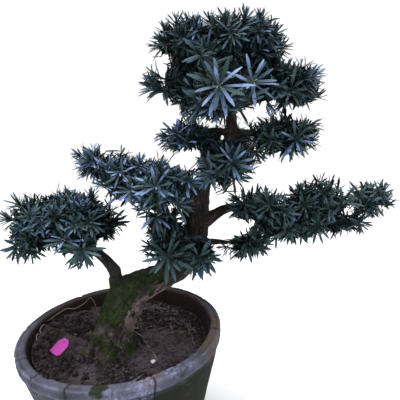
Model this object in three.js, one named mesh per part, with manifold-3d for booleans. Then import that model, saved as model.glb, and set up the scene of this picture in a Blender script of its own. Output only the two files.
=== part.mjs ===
// A Buddhist pine bonsai in a round clay pot: a leaning trunk, its boughs and pads of strap-shaped leaves.
// Millimetres, +Z up. The origin is the centre of the pot's flat underside, and the tree's front faces -Y.

import * as THREE from "three";
import { mergeVertices } from "three/addons/utils/BufferGeometryUtils.js";
import Module from "manifold-3d";

const wasm = await Module();
wasm.setup();

// Clearance between pieces that meet
const CLEAR = 0.3;

// Pot: a tapering wall with a band under a flat rim, and drain holes round the centre of its floor
const POT_HEIGHT = 300;
const RIM_RADIUS = 225;
const BASE_RADIUS = 150;
const RIM_WIDTH = 25;
const WALL = 22;
const BAND_HEIGHT = 26;
const BAND_STEP = 4;
const FLOOR = 24;
const FOOT_CHAMFER = 5;
const RIM_ROUND = 6;
const POT_SIDES = 40;
const DRAIN_HOLES = 3;
const DRAIN_RADIUS = 13;
const DRAIN_RING = 70;
const WALL_SLOPE = (RIM_RADIUS - BAND_STEP - BASE_RADIUS) / (POT_HEIGHT - BAND_HEIGHT);

// Soil: level at the wall, heaped round the trunk's foot, with a sloping bed under the tag
const SOIL_EDGE = 266;
const GROUND = 280;
const HEAP_RADIUS = 72;
const HEAP_SLOPE = 75;
const SOIL_BUMP = 3;
const SOIL_SIDES = 36;
const SOIL_RINGS = 9;
const FOOT = new THREE.Vector2(-9, -60);

// Tag: a small plate with clipped corners and a string hole, which leans back on a clod of soil
const TAG_PLACE = new THREE.Vector3(-128, -37, 279);
const TAG_WIDTH = 38;
const TAG_LENGTH = 40;
const TAG_CLIP = 11;
const TAG_THICK = 1;
const TAG_HOLE = 2;
const TAG_TURN = -0.75;
const TAG_LEAN = 0.49;
const TAG_BED = 29;
const TAG_BLEND = 1.6;
const BED_FROM_FOOT = 84;

// Limbs: each is a line of knots [x, y, z, radius] that starts inside what carries it
const LIMBS = {
  trunk: {
    sides: 12,
    rings: 34,
    knots: [
      [-12, -62, 256, 46],
      [-9, -60, 280, 44],
      [-3, -57, 323, 38],
      [13, -50, 365, 38],
      [34, -41, 397, 36],
      [76, -23, 414, 30],
      [112, -9, 423, 26],
      [147, 1, 439, 27],
      [170, 7, 471, 26],
      [182, 10, 512, 28],
      [184, 11, 558, 27],
      [193, 9, 602, 22],
      [218, 5, 638, 16],
      [248, 0, 676, 13],
      [267, -3, 716, 12],
      [268, -3, 758, 10],
      [263, 0, 810, 7.5],
      [260, 0, 862, 4.5],
    ],
  },
  bough_left: {
    sides: 8,
    rings: 14,
    knots: [
      [19, -40, 392, 18],
      [11, -38, 424, 13],
      [8, -36, 447, 11.5],
      [-5, -35, 469, 10.5],
      [-20, -34, 485, 9],
      [-42, -33, 498, 8.5],
      [-74, -32, 509, 7],
      [-104, -32, 520, 5.5],
    ],
  },
  bough_left_back: {
    sides: 6,
    rings: 5,
    knots: [
      [-24, -34, 487, 6],
      [-44, -12, 500, 5.5],
      [-66, 12, 512, 5],
      [-88, 30, 522, 4],
    ],
  },
  bough_right: {
    sides: 8,
    rings: 18,
    knots: [
      [186, 10, 520, 17],
      [206, 7, 532, 15],
      [226, 4, 546, 11.5],
      [246, 2, 557, 10],
      [274, -2, 563, 8.6],
      [325, -4, 559, 7.4],
      [384, -3, 548, 6.4],
      [450, 2, 541, 5.5],
      [508, 10, 545, 4.5],
    ],
  },
  bough_right_low: {
    sides: 6,
    rings: 5,
    knots: [
      [166, 4, 476, 12],
      [200, 2, 486, 8],
      [228, 0, 486, 6],
      [252, -3, 484, 4.5],
    ],
  },
  bough_front_low: {
    sides: 6,
    rings: 5,
    knots: [
      [150, 2, 446, 11],
      [150, -28, 458, 7],
      [148, -50, 470, 5],
    ],
  },
  bough_middle: {
    sides: 7,
    rings: 12,
    knots: [
      [191, 9, 588, 13],
      [166, -8, 602, 9],
      [134, -20, 612, 8],
      [96, -24, 622, 7],
      [54, -20, 638, 6],
      [22, -14, 652, 4.5],
    ],
  },
  bough_back: {
    sides: 6,
    rings: 7,
    knots: [
      [188, 10, 574, 13],
      [172, 38, 584, 8.5],
      [146, 68, 595, 6],
    ],
  },
  bough_upper_left: {
    sides: 6,
    rings: 6,
    knots: [
      [267, -3, 716, 9],
      [240, -6, 724, 6.5],
      [210, -8, 726, 4.5],
    ],
  },
  bough_upper_right: {
    sides: 6,
    rings: 6,
    knots: [
      [266, -3, 712, 10],
      [292, -4, 716, 7],
      [322, -4, 711, 5],
    ],
  },
  bough_upper_back: {
    sides: 6,
    rings: 5,
    knots: [
      [268, -3, 742, 9],
      [270, 28, 752, 6.5],
      [272, 58, 762, 4.5],
    ],
  },
  bough_crown_left: {
    sides: 6,
    rings: 7,
    knots: [
      [266, -2, 774, 8],
      [238, -8, 786, 6],
      [208, -14, 796, 5.5],
      [178, -18, 804, 4.5],
    ],
  },
  bough_crown_right: {
    sides: 6,
    rings: 7,
    knots: [
      [267, -2, 764, 8],
      [296, -6, 772, 6],
      [328, -8, 780, 5.5],
      [358, -8, 786, 4.5],
    ],
  },
  bough_crown_front: {
    sides: 6,
    rings: 5,
    knots: [
      [267, -3, 760, 8],
      [262, -32, 776, 6],
      [254, -62, 788, 4.5],
    ],
  },
};

// Pads of foliage: the limb that carries each, its space's middle and reach, and shoots that face the front
const PADS = [
  { name: "pad_left_outer", limb: "bough_left", centre: [-144, -42, 557], reach: [54, 76, 68] },
  { name: "pad_left_inner", limb: "bough_left", centre: [-62, -36, 564], reach: [85, 82, 61] },
  { name: "pad_left_right", limb: "bough_left", centre: [-15, -22, 544], reach: [46, 64, 42] },
  {
    name: "pad_left_low",
    limb: "bough_left",
    centre: [-42, -84, 524],
    reach: [49, 64, 47],
    front: [[-28, -108, 522]],
  },
  { name: "pad_left_back", limb: "bough_left_back", centre: [-108, 62, 552], reach: [93, 66, 64] },
  { name: "pad_middle_tip", limb: "bough_middle", centre: [-11, -14, 676], reach: [45, 60, 38] },
  { name: "pad_middle", limb: "bough_middle", centre: [46, -30, 640], reach: [60, 70, 62] },
  {
    name: "pad_middle_front",
    limb: "bough_middle",
    centre: [121, -66, 625],
    reach: [78, 81, 61],
    front: [[120, -114, 634]],
  },
  { name: "pad_middle_back", limb: "bough_back", centre: [90, 98, 608], reach: [89, 67, 62] },
  { name: "pad_centre_left", limb: "trunk", centre: [122, -14, 543], reach: [50, 64, 60] },
  {
    name: "pad_front_low",
    limb: "bough_front_low",
    centre: [135, -92, 513],
    reach: [60, 69, 45],
    front: [[130, -134, 512]],
  },
  {
    name: "pad_front_low_right",
    limb: "bough_front_low",
    centre: [187, -58, 486],
    reach: [45, 62, 40],
    front: [[190, -96, 484]],
  },
  { name: "pad_right_low", limb: "bough_right_low", centre: [289, -12, 488], reach: [53, 62, 39] },
  {
    name: "pad_right_inner",
    limb: "bough_right",
    centre: [316, -30, 559],
    reach: [70, 74, 50],
    front: [[314, -74, 572]],
  },
  { name: "pad_right_middle", limb: "bough_right", centre: [440, -6, 552], reach: [82, 73, 69] },
  { name: "pad_right_under", limb: "bough_right", centre: [386, -18, 525], reach: [93, 66, 41] },
  { name: "pad_right_end", limb: "bough_right", centre: [502, -2, 526], reach: [48, 56, 38] },
  { name: "pad_right_tip", limb: "bough_right", centre: [561, 16, 557], reach: [53, 60, 43] },
  {
    name: "pad_waist",
    limb: "trunk",
    centre: [243, -62, 666],
    reach: [64, 73, 54],
    front: [[254, -108, 668]],
  },
  { name: "pad_waist_back", limb: "trunk", centre: [261, 84, 668], reach: [80, 71, 72] },
  { name: "pad_upper_left", limb: "bough_upper_left", centre: [182, -6, 714], reach: [75, 62, 39] },
  { name: "pad_upper_right", limb: "bough_upper_right", centre: [366, -6, 704], reach: [92, 70, 47] },
  { name: "pad_crown_left", limb: "bough_crown_left", centre: [143, -22, 820], reach: [50, 62, 42] },
  { name: "pad_crown_inner_left", limb: "bough_crown_left", centre: [192, -14, 809], reach: [39, 64, 68] },
  {
    name: "pad_crown_front",
    limb: "bough_crown_front",
    centre: [240, -116, 800],
    reach: [73, 83, 66],
    front: [[237, -162, 802]],
  },
  { name: "pad_crown_inner_right", limb: "bough_crown_right", centre: [337, -20, 814], reach: [47, 67, 56] },
  { name: "pad_crown_right", limb: "bough_crown_right", centre: [386, -10, 799], reach: [70, 80, 59] },
  { name: "pad_crown_back", limb: "bough_upper_back", centre: [257, 104, 802], reach: [104, 73, 68] },
  { name: "pad_top_left", limb: "trunk", centre: [182, -16, 890], reach: [62, 89, 64] },
  { name: "pad_top_middle", limb: "trunk", centre: [259, -60, 888], reach: [60, 76, 54] },
  { name: "pad_top_right", limb: "trunk", centre: [310, -14, 880], reach: [75, 91, 66] },
  { name: "pad_top_back", limb: "trunk", centre: [251, 82, 893], reach: [97, 66, 63] },
];

// Shoots and leaves, larger than life because each stands for several
const LEAF_LENGTHS = [48, 42, 35];
const LEAF_WIDTH = 14;
const LEAF_THICK = 2.6;
const LEAF_ROOT = 6;
const LEAF_GAP = 5;
const LEAF_CHANCE = 0.22;
const ROSETTE_LEAVES = 7;
const ROSETTE_SPREAD = [0.4, 1.4];
const BUD_RADIUS = 5;
const TWIG_RADIUS = 2.8;
const STEM_RADIUS = 4;
const SHOOT_AREA = 9000;
const SHOOT_FAN = 26;
const CORE_DEPTH = 25;
const CORE_SMALLEST = 0.3;
const SPACE_BEYOND = 6;
const SPACE_MARGIN = 0.04;
const LIMB_MARGIN = 3;
const STEM_MARGIN = 7;
const STEM_APART = 15;
const GOLDEN_ANGLE = Math.PI * (3 - Math.sqrt(5));
const FRONT = new THREE.Vector3(-0.12, -0.93, 0.34);

const CLAY = new THREE.MeshStandardMaterial({ color: 0x6f6a64, roughness: 0.92, metalness: 0 });
const EARTH = new THREE.MeshStandardMaterial({ color: 0x3b2c26, roughness: 1, metalness: 0 });
const BARK = new THREE.MeshStandardMaterial({ color: 0x4a3a30, roughness: 0.9, metalness: 0 });
const LEAF = new THREE.MeshStandardMaterial({ color: 0x2c4640, roughness: 0.5, metalness: 0 });
const PINK = new THREE.MeshStandardMaterial({ color: 0xe354bd, roughness: 0.6, metalness: 0 });

const vector = (point) => new THREE.Vector3(point[0], point[1], point[2]);

// Repeatable numbers from 0 to 1
function seeded(seed) {
  let state = seed * 7919 + 17;
  return () => {
    state = (Math.imul(state, 1664525) + 1013904223) >>> 0;
    return state / 4294967296;
  };
}

function solidOf(geometry) {
  const bare = new THREE.BufferGeometry();
  bare.setAttribute("position", geometry.getAttribute("position"));
  bare.setIndex(geometry.index);
  const merged = mergeVertices(bare, 1e-3);
  const vertProperties = merged.getAttribute("position").array;
  const triVerts = new Uint32Array(merged.index.array);
  return new wasm.Manifold(new wasm.Mesh({ numProp: 3, vertProperties, triVerts }));
}

function meshOf(name, solid, material) {
  const made = solid.getMesh();
  const geometry = new THREE.BufferGeometry();
  geometry.setAttribute("position", new THREE.BufferAttribute(made.vertProperties, made.numProp));
  geometry.setIndex(new THREE.BufferAttribute(made.triVerts, 1));
  geometry.computeVertexNormals();
  const mesh = new THREE.Mesh(geometry, material);
  mesh.name = name;
  return mesh;
}

// The largest piece of a solid, without loose scraps
function largest(solid) {
  return solid.decompose().reduce((a, b) => (a.volume() > b.volume() ? a : b));
}

// A profile of [radius, height] points turned round the Z axis
function turned(profile, sides) {
  const points = profile.map(([radius, height]) => new THREE.Vector2(radius, height));
  return new THREE.LatheGeometry(points, sides).rotateX(Math.PI / 2);
}

function potSolid() {
  const bandFoot = POT_HEIGHT - BAND_HEIGHT;
  const innerRim = RIM_RADIUS - RIM_WIDTH;
  const innerFloor = BASE_RADIUS + WALL_SLOPE * FLOOR - WALL;
  const wall = solidOf(
    turned(
      [
        [0, 0],
        [BASE_RADIUS - FOOT_CHAMFER, 0],
        [BASE_RADIUS, FOOT_CHAMFER],
        [RIM_RADIUS - BAND_STEP, bandFoot],
        [RIM_RADIUS - 1, bandFoot + BAND_STEP],
        [RIM_RADIUS, POT_HEIGHT - RIM_ROUND],
        [RIM_RADIUS - RIM_ROUND, POT_HEIGHT],
        [innerRim + RIM_ROUND / 2, POT_HEIGHT],
        [innerRim, POT_HEIGHT - RIM_ROUND],
        [innerFloor, FLOOR],
        [0, FLOOR],
      ],
      POT_SIDES,
    ),
  );
  const drains = [];
  for (let i = 0; i < DRAIN_HOLES; i++) {
    const turn = (i * 2 * Math.PI) / DRAIN_HOLES + Math.PI / 6;
    const bore = new THREE.CylinderGeometry(DRAIN_RADIUS, DRAIN_RADIUS, 2 * FLOOR, 16);
    bore.rotateX(Math.PI / 2);
    bore.translate(DRAIN_RING * Math.cos(turn), DRAIN_RING * Math.sin(turn), FLOOR / 2);
    drains.push(solidOf(bore));
  }
  return wall.subtract(wasm.Manifold.union(drains));
}

// Inner radius of the pot's wall at a height
function innerRadius(height) {
  const innerFloor = BASE_RADIUS + WALL_SLOPE * FLOOR - WALL;
  const share = (height - FLOOR) / (POT_HEIGHT - RIM_ROUND - FLOOR);
  return innerFloor + (RIM_RADIUS - RIM_WIDTH - innerFloor) * share;
}

// Height of the soil: gentle bumps, the heap at the trunk's foot and the tag's sloping bed
function soilTop(x, y) {
  const bump = Math.sin(x / 31 + 1) * Math.cos(y / 27) + 0.5 * Math.sin(x / 13 - y / 17);
  const fromFoot = Math.hypot(x - FOOT.x, y - FOOT.y);
  const heap = THREE.MathUtils.clamp(1 - (fromFoot - HEAP_RADIUS) / HEAP_SLOPE, 0, 1);
  const open = SOIL_EDGE + SOIL_BUMP * bump;
  const raised = Math.min(THREE.MathUtils.lerp(open, GROUND - CLEAR, heap), GROUND - CLEAR);
  const tagX = x - TAG_PLACE.x;
  const tagY = y - TAG_PLACE.y;
  const uphill = tagY * Math.cos(TAG_TURN) - tagX * Math.sin(TAG_TURN);
  const bed = TAG_PLACE.z + Math.tan(TAG_LEAN) * THREE.MathUtils.clamp(uphill, -TAG_BED, TAG_BED);
  const away = Math.hypot(tagX, tagY) / TAG_BED;
  const share = THREE.MathUtils.clamp((TAG_BLEND - away) / (TAG_BLEND - 1), 0, 1);
  const limit = GROUND - CLEAR + Math.max(fromFoot - BED_FROM_FOOT, 0);
  return Math.min(THREE.MathUtils.lerp(raised, bed, share), limit);
}

// Puts a shape that is drawn on the tag's own plane in its place on the sloping bed
function onBed(geometry) {
  return geometry.rotateX(TAG_LEAN).rotateZ(TAG_TURN).translate(TAG_PLACE.x, TAG_PLACE.y, TAG_PLACE.z);
}

function soilSolid() {
  const bottom = FLOOR + CLEAR;
  const edge = innerRadius(SOIL_EDGE) - 2;
  const profile = [
    [0, bottom],
    [innerRadius(bottom) - 2, bottom],
  ];
  for (let i = SOIL_RINGS; i >= 0; i--) profile.push([(edge * i) / SOIL_RINGS, SOIL_EDGE]);
  const geometry = turned(profile, SOIL_SIDES);
  const place = geometry.getAttribute("position");
  for (let i = 0; i < place.count; i++) {
    if (place.getZ(i) > bottom + 1) place.setZ(i, soilTop(place.getX(i), place.getY(i)));
  }
  const pressed = new THREE.CylinderGeometry(TAG_BED, TAG_BED, 40, 16).rotateX(Math.PI / 2);
  return solidOf(geometry).subtract(solidOf(onBed(pressed.translate(0, 0, 20))));
}

function tagGeometry() {
  const outline = new THREE.Shape();
  const half = TAG_WIDTH / 2;
  outline.moveTo(-half, 0);
  outline.lineTo(half, 0);
  outline.lineTo(half, TAG_LENGTH - TAG_CLIP);
  outline.lineTo(half - TAG_CLIP, TAG_LENGTH);
  outline.lineTo(TAG_CLIP - half, TAG_LENGTH);
  outline.lineTo(-half, TAG_LENGTH - TAG_CLIP);
  outline.closePath();
  const hole = new THREE.Path();
  hole.absarc(0, TAG_LENGTH - TAG_CLIP * 0.8, TAG_HOLE, 0, 2 * Math.PI, true);
  outline.holes.push(hole);
  const settings = { depth: TAG_THICK, bevelEnabled: false, curveSegments: 8 };
  return onBed(new THREE.ExtrudeGeometry(outline, settings).translate(0, -TAG_LENGTH / 2, CLEAR));
}

// A limb's curve with its radius at each share of the length
function course(limb) {
  const curve = new THREE.CatmullRomCurve3(limb.knots.map(vector), false, "centripetal");
  const last = limb.knots.length - 1;
  const radiusAt = (share) => {
    const place = curve.getUtoTmapping(share) * last;
    const at = Math.min(Math.floor(place), last - 1);
    return THREE.MathUtils.lerp(limb.knots[at][3], limb.knots[at + 1][3], place - at);
  };
  return { curve, radiusAt };
}

// Roots that spread at the trunk's foot, and slow swellings along every limb
function girth(name, angle, share, height) {
  const swell = 1 + 0.05 * Math.sin(3 * angle + 19 * share) + 0.03 * Math.sin(2 * angle - 31 * share);
  if (name !== "trunk") return swell;
  const low = Math.exp(-Math.max(height - GROUND, 0) / 22);
  const roots = 0.16 + 0.16 * Math.cos(5 * angle + 0.9);
  return swell + low * roots;
}

// A cylinder bent along the limb's curve; grow widens it all round
function limbSolid(name, grow) {
  const limb = LIMBS[name];
  const { curve, radiusAt } = course(limb);
  const frames = curve.computeFrenetFrames(limb.rings);
  const geometry = new THREE.CylinderGeometry(1, 1, 1, limb.sides, limb.rings);
  const place = geometry.getAttribute("position");
  for (let i = 0; i < place.count; i++) {
    const share = THREE.MathUtils.clamp(place.getY(i) + 0.5, 0, 1);
    const ring = Math.round(share * limb.rings);
    const angle = Math.atan2(place.getX(i), place.getZ(i));
    const centre = curve.getPointAt(share);
    const onRim = Math.hypot(place.getX(i), place.getZ(i)) > 0.5;
    const radius = onRim ? radiusAt(share) * girth(name, angle, share, centre.z) + grow : 0;
    centre.addScaledVector(frames.normals[ring], radius * Math.cos(angle));
    centre.addScaledVector(frames.binormals[ring], radius * Math.sin(angle));
    place.setXYZ(i, centre.x, centre.y, centre.z);
  }
  const solid = solidOf(geometry);
  if (name !== "trunk") return solid;
  const under = new THREE.BoxGeometry(400, 400, 100).translate(FOOT.x, FOOT.y, GROUND - 50 - grow);
  return solid.subtract(solidOf(under));
}

const limbNames = Object.keys(LIMBS);
const widened = new Map(limbNames.map((name) => [name, limbSolid(name, CLEAR * 1.3)]));

// Points along every limb, with the radius there
const limbPoints = limbNames.flatMap((name) => {
  const { curve, radiusAt } = course(LIMBS[name]);
  const shares = Array.from({ length: 61 }, (_, i) => i / 60);
  return shares.map((share) => ({ name, point: curve.getPointAt(share), radius: radiusAt(share) }));
});

// Each bough is cut clear of the limbs that come before it
function boughSolid(name) {
  const before = limbNames.slice(0, limbNames.indexOf(name)).map((other) => widened.get(other));
  return largest(limbSolid(name, 0).subtract(wasm.Manifold.union(before)));
}

function boughOrTrunk(name) {
  return name === "trunk" ? limbSolid(name, 0) : boughSolid(name);
}

function blockedByLimb(point) {
  return limbPoints.some((on) => on.point.distanceTo(point) < on.radius + LIMB_MARGIN);
}

// How far out a point lies in a pad's space: 0 at its middle and 1 at its skin
function depthIn(pad, point) {
  const [x, y, z] = pad.centre;
  const [a, b, c] = pad.reach;
  return Math.hypot((point.x - x) / a, (point.y - y) / b, (point.z - z) / c);
}

// A point is a pad's own where it lies inside it and clearly deeper than in any other
function owns(pad, point, beyond = 0) {
  const depth = depthIn(pad, point);
  const away = point.distanceTo(vector(pad.centre));
  if (away * (1 - 1 / depth) > beyond) return false;
  return PADS.every((other) => other === pad || depth + SPACE_MARGIN < depthIn(other, point));
}

// Each pad's stem runs from its limb to the pad's middle: it starts at the nearest point that leaves
// room for the stems already there
const stems = new Map();
for (const pad of PADS) {
  const middle = vector(pad.centre);
  const started = [...stems.values()].map((stem) => stem.start);
  const free = limbPoints.filter((on) => {
    return on.name === pad.limb && started.every((start) => start.distanceTo(on.point) > STEM_APART);
  });
  const root = free.reduce((a, b) => (a.point.distanceTo(middle) < b.point.distanceTo(middle) ? a : b));
  stems.set(pad, new THREE.Line3(root.point, middle));
}

function blockedByStem(pad, point) {
  const near = new THREE.Vector3();
  return PADS.some((other) => {
    if (other === pad) return false;
    stems.get(other).closestPointToPoint(point, true, near);
    return near.distanceTo(point) < STEM_MARGIN;
  });
}

// A straight tapering twig
function twigSolid(from, to, thick, thin, sides) {
  const along = to.clone().sub(from);
  const geometry = new THREE.CylinderGeometry(thin, thick, along.length(), sides);
  geometry.translate(0, along.length() / 2, 0);
  const turn = new THREE.Quaternion().setFromUnitVectors(new THREE.Vector3(0, 1, 0), along.normalize());
  geometry.applyQuaternion(turn).translate(from.x, from.y, from.z);
  return solidOf(geometry);
}

// A flat leaf of eight faces, from its root along its own direction
function leafSolid(root, direction, side, length) {
  const geometry = new THREE.OctahedronGeometry(1);
  geometry.scale(length / 2, LEAF_WIDTH / 2, LEAF_THICK / 2).translate(length / 2, 0, 0);
  const face = new THREE.Vector3().crossVectors(direction, side).normalize();
  const across = new THREE.Vector3().crossVectors(face, direction);
  const matrix = new THREE.Matrix4().makeBasis(direction, across, face).setPosition(root);
  return solidOf(geometry.applyMatrix4(matrix));
}

// Share of the way out to a pad's skin that its core fills
function coreShare(skin) {
  return Math.max(1 - CORE_DEPTH / skin.length(), CORE_SMALLEST);
}

// The dense inside of a pad: a low lump that shrinks where it would leave the pad's own space
function coreGeometry(pad, random) {
  const ball = new THREE.IcosahedronGeometry(1, 1).deleteAttribute("normal").deleteAttribute("uv");
  const merged = mergeVertices(ball);
  const place = merged.getAttribute("position");
  const middle = vector(pad.centre);
  const out = new THREE.Vector3();
  for (let i = 0; i < place.count; i++) {
    const skin = out.fromBufferAttribute(place, i).multiply(vector(pad.reach)).clone();
    let share = coreShare(skin) * (0.8 + 0.3 * random());
    while (share > 0.1 && !owns(pad, middle.clone().addScaledVector(skin, share * 1.12))) share -= 0.03;
    const at = middle.clone().addScaledVector(skin, share);
    place.setXYZ(i, at.x, at.y, at.z);
  }
  return merged;
}

// Axes of a pad's shoots, spread evenly round it
function shootAxes(pad, random) {
  const reach = vector(pad.reach);
  const area = (reach.x * reach.y + reach.y * reach.z + reach.x * reach.z) * 4;
  const count = Math.round(area / SHOOT_AREA);
  return Array.from({ length: count }, (_, i) => {
    const rise = 1 - (2 * (i + 0.5)) / count;
    const turn = GOLDEN_ANGLE * i + random() * 0.8;
    const ring = Math.sqrt(1 - rise * rise);
    return new THREE.Vector3(ring * Math.cos(turn), ring * Math.sin(turn), rise);
  });
}

// True where a leaf keeps to its pad's space and clear of limbs, stems and leaves already there
function fits(pad, along, taken) {
  if (!along.every((point) => owns(pad, point, SPACE_BEYOND))) return false;
  if (along.some((point) => blockedByLimb(point) || blockedByStem(pad, point))) return false;
  return !along.some((point) => taken.some((other) => other.distanceTo(point) < LEAF_GAP));
}

function alongLeaf(root, direction, length) {
  return [0.3, 0.6, 1].map((share) => root.clone().addScaledVector(direction, length * share));
}

// Leaves that stand out of the core, each on a face of its own, fanned round the nearest shoot's axis
function coreLeaves(pad, core, random, taken) {
  const axes = shootAxes(pad, random);
  const middle = vector(pad.centre);
  const place = core.getAttribute("position");
  const leaves = [];
  for (let i = 0; i < core.index.count; i += 3) {
    const corners = [0, 1, 2].map((k) => {
      return new THREE.Vector3().fromBufferAttribute(place, core.index.getX(i + k));
    });
    const face = new THREE.Triangle(...corners);
    const at = face.getMidpoint(new THREE.Vector3());
    const out = at.clone().sub(middle).divide(vector(pad.reach)).normalize();
    const axis = axes.reduce((a, b) => (a.dot(out) > b.dot(out) ? a : b));
    const heart = at.clone().sub(middle).length();
    const base = middle.clone().addScaledVector(axis, Math.max(heart - SHOOT_FAN, 0));
    const direction = at.clone().sub(base).normalize();
    const jitter = new THREE.Vector3(random() - 0.5, random() - 0.5, random() - 0.3);
    direction.addScaledVector(jitter, 0.5).normalize();
    const root = at.clone().addScaledVector(direction, -LEAF_ROOT);
    const steep = direction.dot(face.getNormal(new THREE.Vector3())) > 0.45;
    if (random() > LEAF_CHANCE || !steep) continue;
    const length = LEAF_LENGTHS.find((tried) => fits(pad, alongLeaf(root, direction, tried), taken));
    if (!length) continue;
    taken.push(...alongLeaf(root, direction, length));
    leaves.push(leafSolid(root, direction, new THREE.Vector3().crossVectors(axis, direction), length));
  }
  return leaves;
}

// A rosette that faces the front: a twig, its bud, and leaves set round it by the golden angle
function frontRosette(pad, tip, random, taken) {
  const axis = FRONT.clone().normalize();
  const side = new THREE.Vector3(1, 0.3, 0).cross(axis).normalize();
  const bud = new THREE.OctahedronGeometry(BUD_RADIUS).translate(tip.x, tip.y, tip.z);
  const pieces = [twigSolid(vector(pad.centre), tip, TWIG_RADIUS, TWIG_RADIUS * 0.8, 3), solidOf(bud)];
  for (let i = 0; i < ROSETTE_LEAVES; i++) {
    const age = (i + random() * 0.5) / ROSETTE_LEAVES;
    const lean = THREE.MathUtils.lerp(ROSETTE_SPREAD[0], ROSETTE_SPREAD[1], age);
    const around = side.clone().applyAxisAngle(axis, GOLDEN_ANGLE * i);
    const direction = axis.clone().multiplyScalar(Math.cos(lean)).addScaledVector(around, Math.sin(lean));
    const root = tip.clone().addScaledVector(direction, -BUD_RADIUS * 0.3);
    const length = LEAF_LENGTHS.find((tried) => fits(pad, alongLeaf(root, direction, tried), taken));
    if (!length) continue;
    taken.push(...alongLeaf(root, direction, length).slice(1));
    pieces.push(leafSolid(root, direction, around.cross(axis), length));
  }
  return pieces;
}

// One pad: stem, core, twigs and leaves in one solid, cut clear of the limbs and of other pads' stems
function padSolid(pad) {
  const random = seeded(PADS.indexOf(pad) + 1);
  const stem = stems.get(pad);
  const core = coreGeometry(pad, random);
  const taken = [];
  const pieces = [twigSolid(stem.start, stem.end, STEM_RADIUS, STEM_RADIUS * 0.8, 5), solidOf(core)];
  for (const tip of pad.front ?? []) pieces.push(...frontRosette(pad, vector(tip), random, taken));
  pieces.push(...coreLeaves(pad, core, random, taken));
  const others = PADS.filter((other) => other !== pad).map((other) => {
    const line = stems.get(other);
    return twigSolid(line.start, line.end, STEM_RADIUS + CLEAR, STEM_RADIUS + CLEAR, 5);
  });
  const cutters = wasm.Manifold.union([...widened.values(), ...others]);
  return largest(wasm.Manifold.union(pieces).subtract(cutters));
}

const bonsai = new THREE.Group();
bonsai.add(meshOf("pot", potSolid(), CLAY));
bonsai.add(meshOf("soil", soilSolid(), EARTH));

const tag = new THREE.Mesh(tagGeometry(), PINK);
tag.name = "tag";
bonsai.add(tag);

for (const name of limbNames) bonsai.add(meshOf(name, boughOrTrunk(name), BARK));
for (const pad of PADS) bonsai.add(meshOf(pad.name, padSolid(pad), LEAF));

export default bonsai;
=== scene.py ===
"""Looks of a potted Buddhist pine bonsai: clay pot, soil, mossy trunk, boughs, twigs and leaves.

Blender's units are metres, +Z up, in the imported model's frame: the origin is the centre of the pot's
flat underside and the tree's front faces -Y. Sizes that repeat the part's own are written in
millimetres, times MM.
"""

import logging
import math
from collections.abc import Iterator, Sequence
from contextlib import contextmanager
from dataclasses import dataclass, field
from enum import Enum
from itertools import pairwise

import bpy
import numpy as np
from mathutils import Matrix, Vector, noise


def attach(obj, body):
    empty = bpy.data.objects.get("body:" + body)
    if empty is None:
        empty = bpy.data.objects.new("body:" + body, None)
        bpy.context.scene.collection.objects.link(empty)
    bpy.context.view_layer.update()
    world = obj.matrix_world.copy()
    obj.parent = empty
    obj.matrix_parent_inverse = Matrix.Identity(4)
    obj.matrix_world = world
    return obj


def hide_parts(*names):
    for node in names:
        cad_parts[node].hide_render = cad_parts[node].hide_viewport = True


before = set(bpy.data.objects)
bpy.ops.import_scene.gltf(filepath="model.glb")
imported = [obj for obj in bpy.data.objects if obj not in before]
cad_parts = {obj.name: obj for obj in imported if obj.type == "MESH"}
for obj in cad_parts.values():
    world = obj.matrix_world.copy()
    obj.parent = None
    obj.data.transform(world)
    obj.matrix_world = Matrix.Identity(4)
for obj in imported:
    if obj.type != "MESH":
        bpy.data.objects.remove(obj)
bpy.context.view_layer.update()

LOG = logging.getLogger("bonsai")

MM = 0.001
BODY = "root"
GOLDEN_ANGLE = math.pi * (3 - math.sqrt(5))
# The camera's place, the soil's height at the trunk's foot, and where and how the tag lies.
EYE = (0.19559, -0.88156, 0.78709)
GROUND = 280 * MM
TAG_SPOT = (-128 * MM, -37 * MM, 279 * MM)
TAG_TURN = -0.75
TAG_LEAN = 0.49

Array = np.ndarray
Chance = np.random.Generator
Pair = tuple[float, float]
Piece = bpy.types.Object
Socket = bpy.types.NodeSocket
Material = bpy.types.Material
Knot = tuple[float, float, float, float]
Point = tuple[float, float, float]
Colour = tuple[float, float, float]
Spot = tuple[Point, float]
Tube = tuple[Array, list[tuple[int, ...]]]
Leaves = dict[str, Array]


class Slot(Enum):
    """The record's material slots."""

    CLAY = "clay"
    EARTH = "earth"
    TAG = "tag_plastic"
    BARK = "bark"
    FOLIAGE = "foliage"


# Editing


def deselect() -> None:
    """Clears the selection, so that an operator acts on nothing by accident."""
    bpy.ops.object.select_all(action="DESELECT")


def select_only(piece: Piece) -> None:
    """Selects one object and makes it active."""
    deselect()
    piece.select_set(True)
    bpy.context.view_layer.objects.active = piece


@contextmanager
def editing(piece: Piece) -> Iterator[None]:
    """Keeps a piece in edit mode inside a with block.

    Args:
        piece: The mesh object to edit.

    Returns:
        The block's context.
    """
    select_only(piece)
    bpy.ops.object.mode_set(mode="EDIT")
    try:
        yield
    finally:
        bpy.ops.object.mode_set(mode="OBJECT")


def face_outwards() -> None:
    """Selects the whole edit mesh and turns its faces outwards."""
    bpy.ops.mesh.select_all(action="SELECT")
    bpy.ops.mesh.normals_make_consistent(inside=False)


def raise_ring(move: Vector, grow: float = 1.0, about: Vector | None = None) -> None:
    """Extrudes the selected ring and resizes its far end.

    Args:
        move: How far the new ring stands from the old one.
        grow: The new ring's size against the old one's.
        about: The point that the new ring is resized about.
    """
    bpy.ops.mesh.extrude_region_move(TRANSFORM_OT_translate={"value": move})
    if about is not None:
        bpy.ops.transform.resize(value=(grow, grow, grow), center_override=about)


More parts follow.
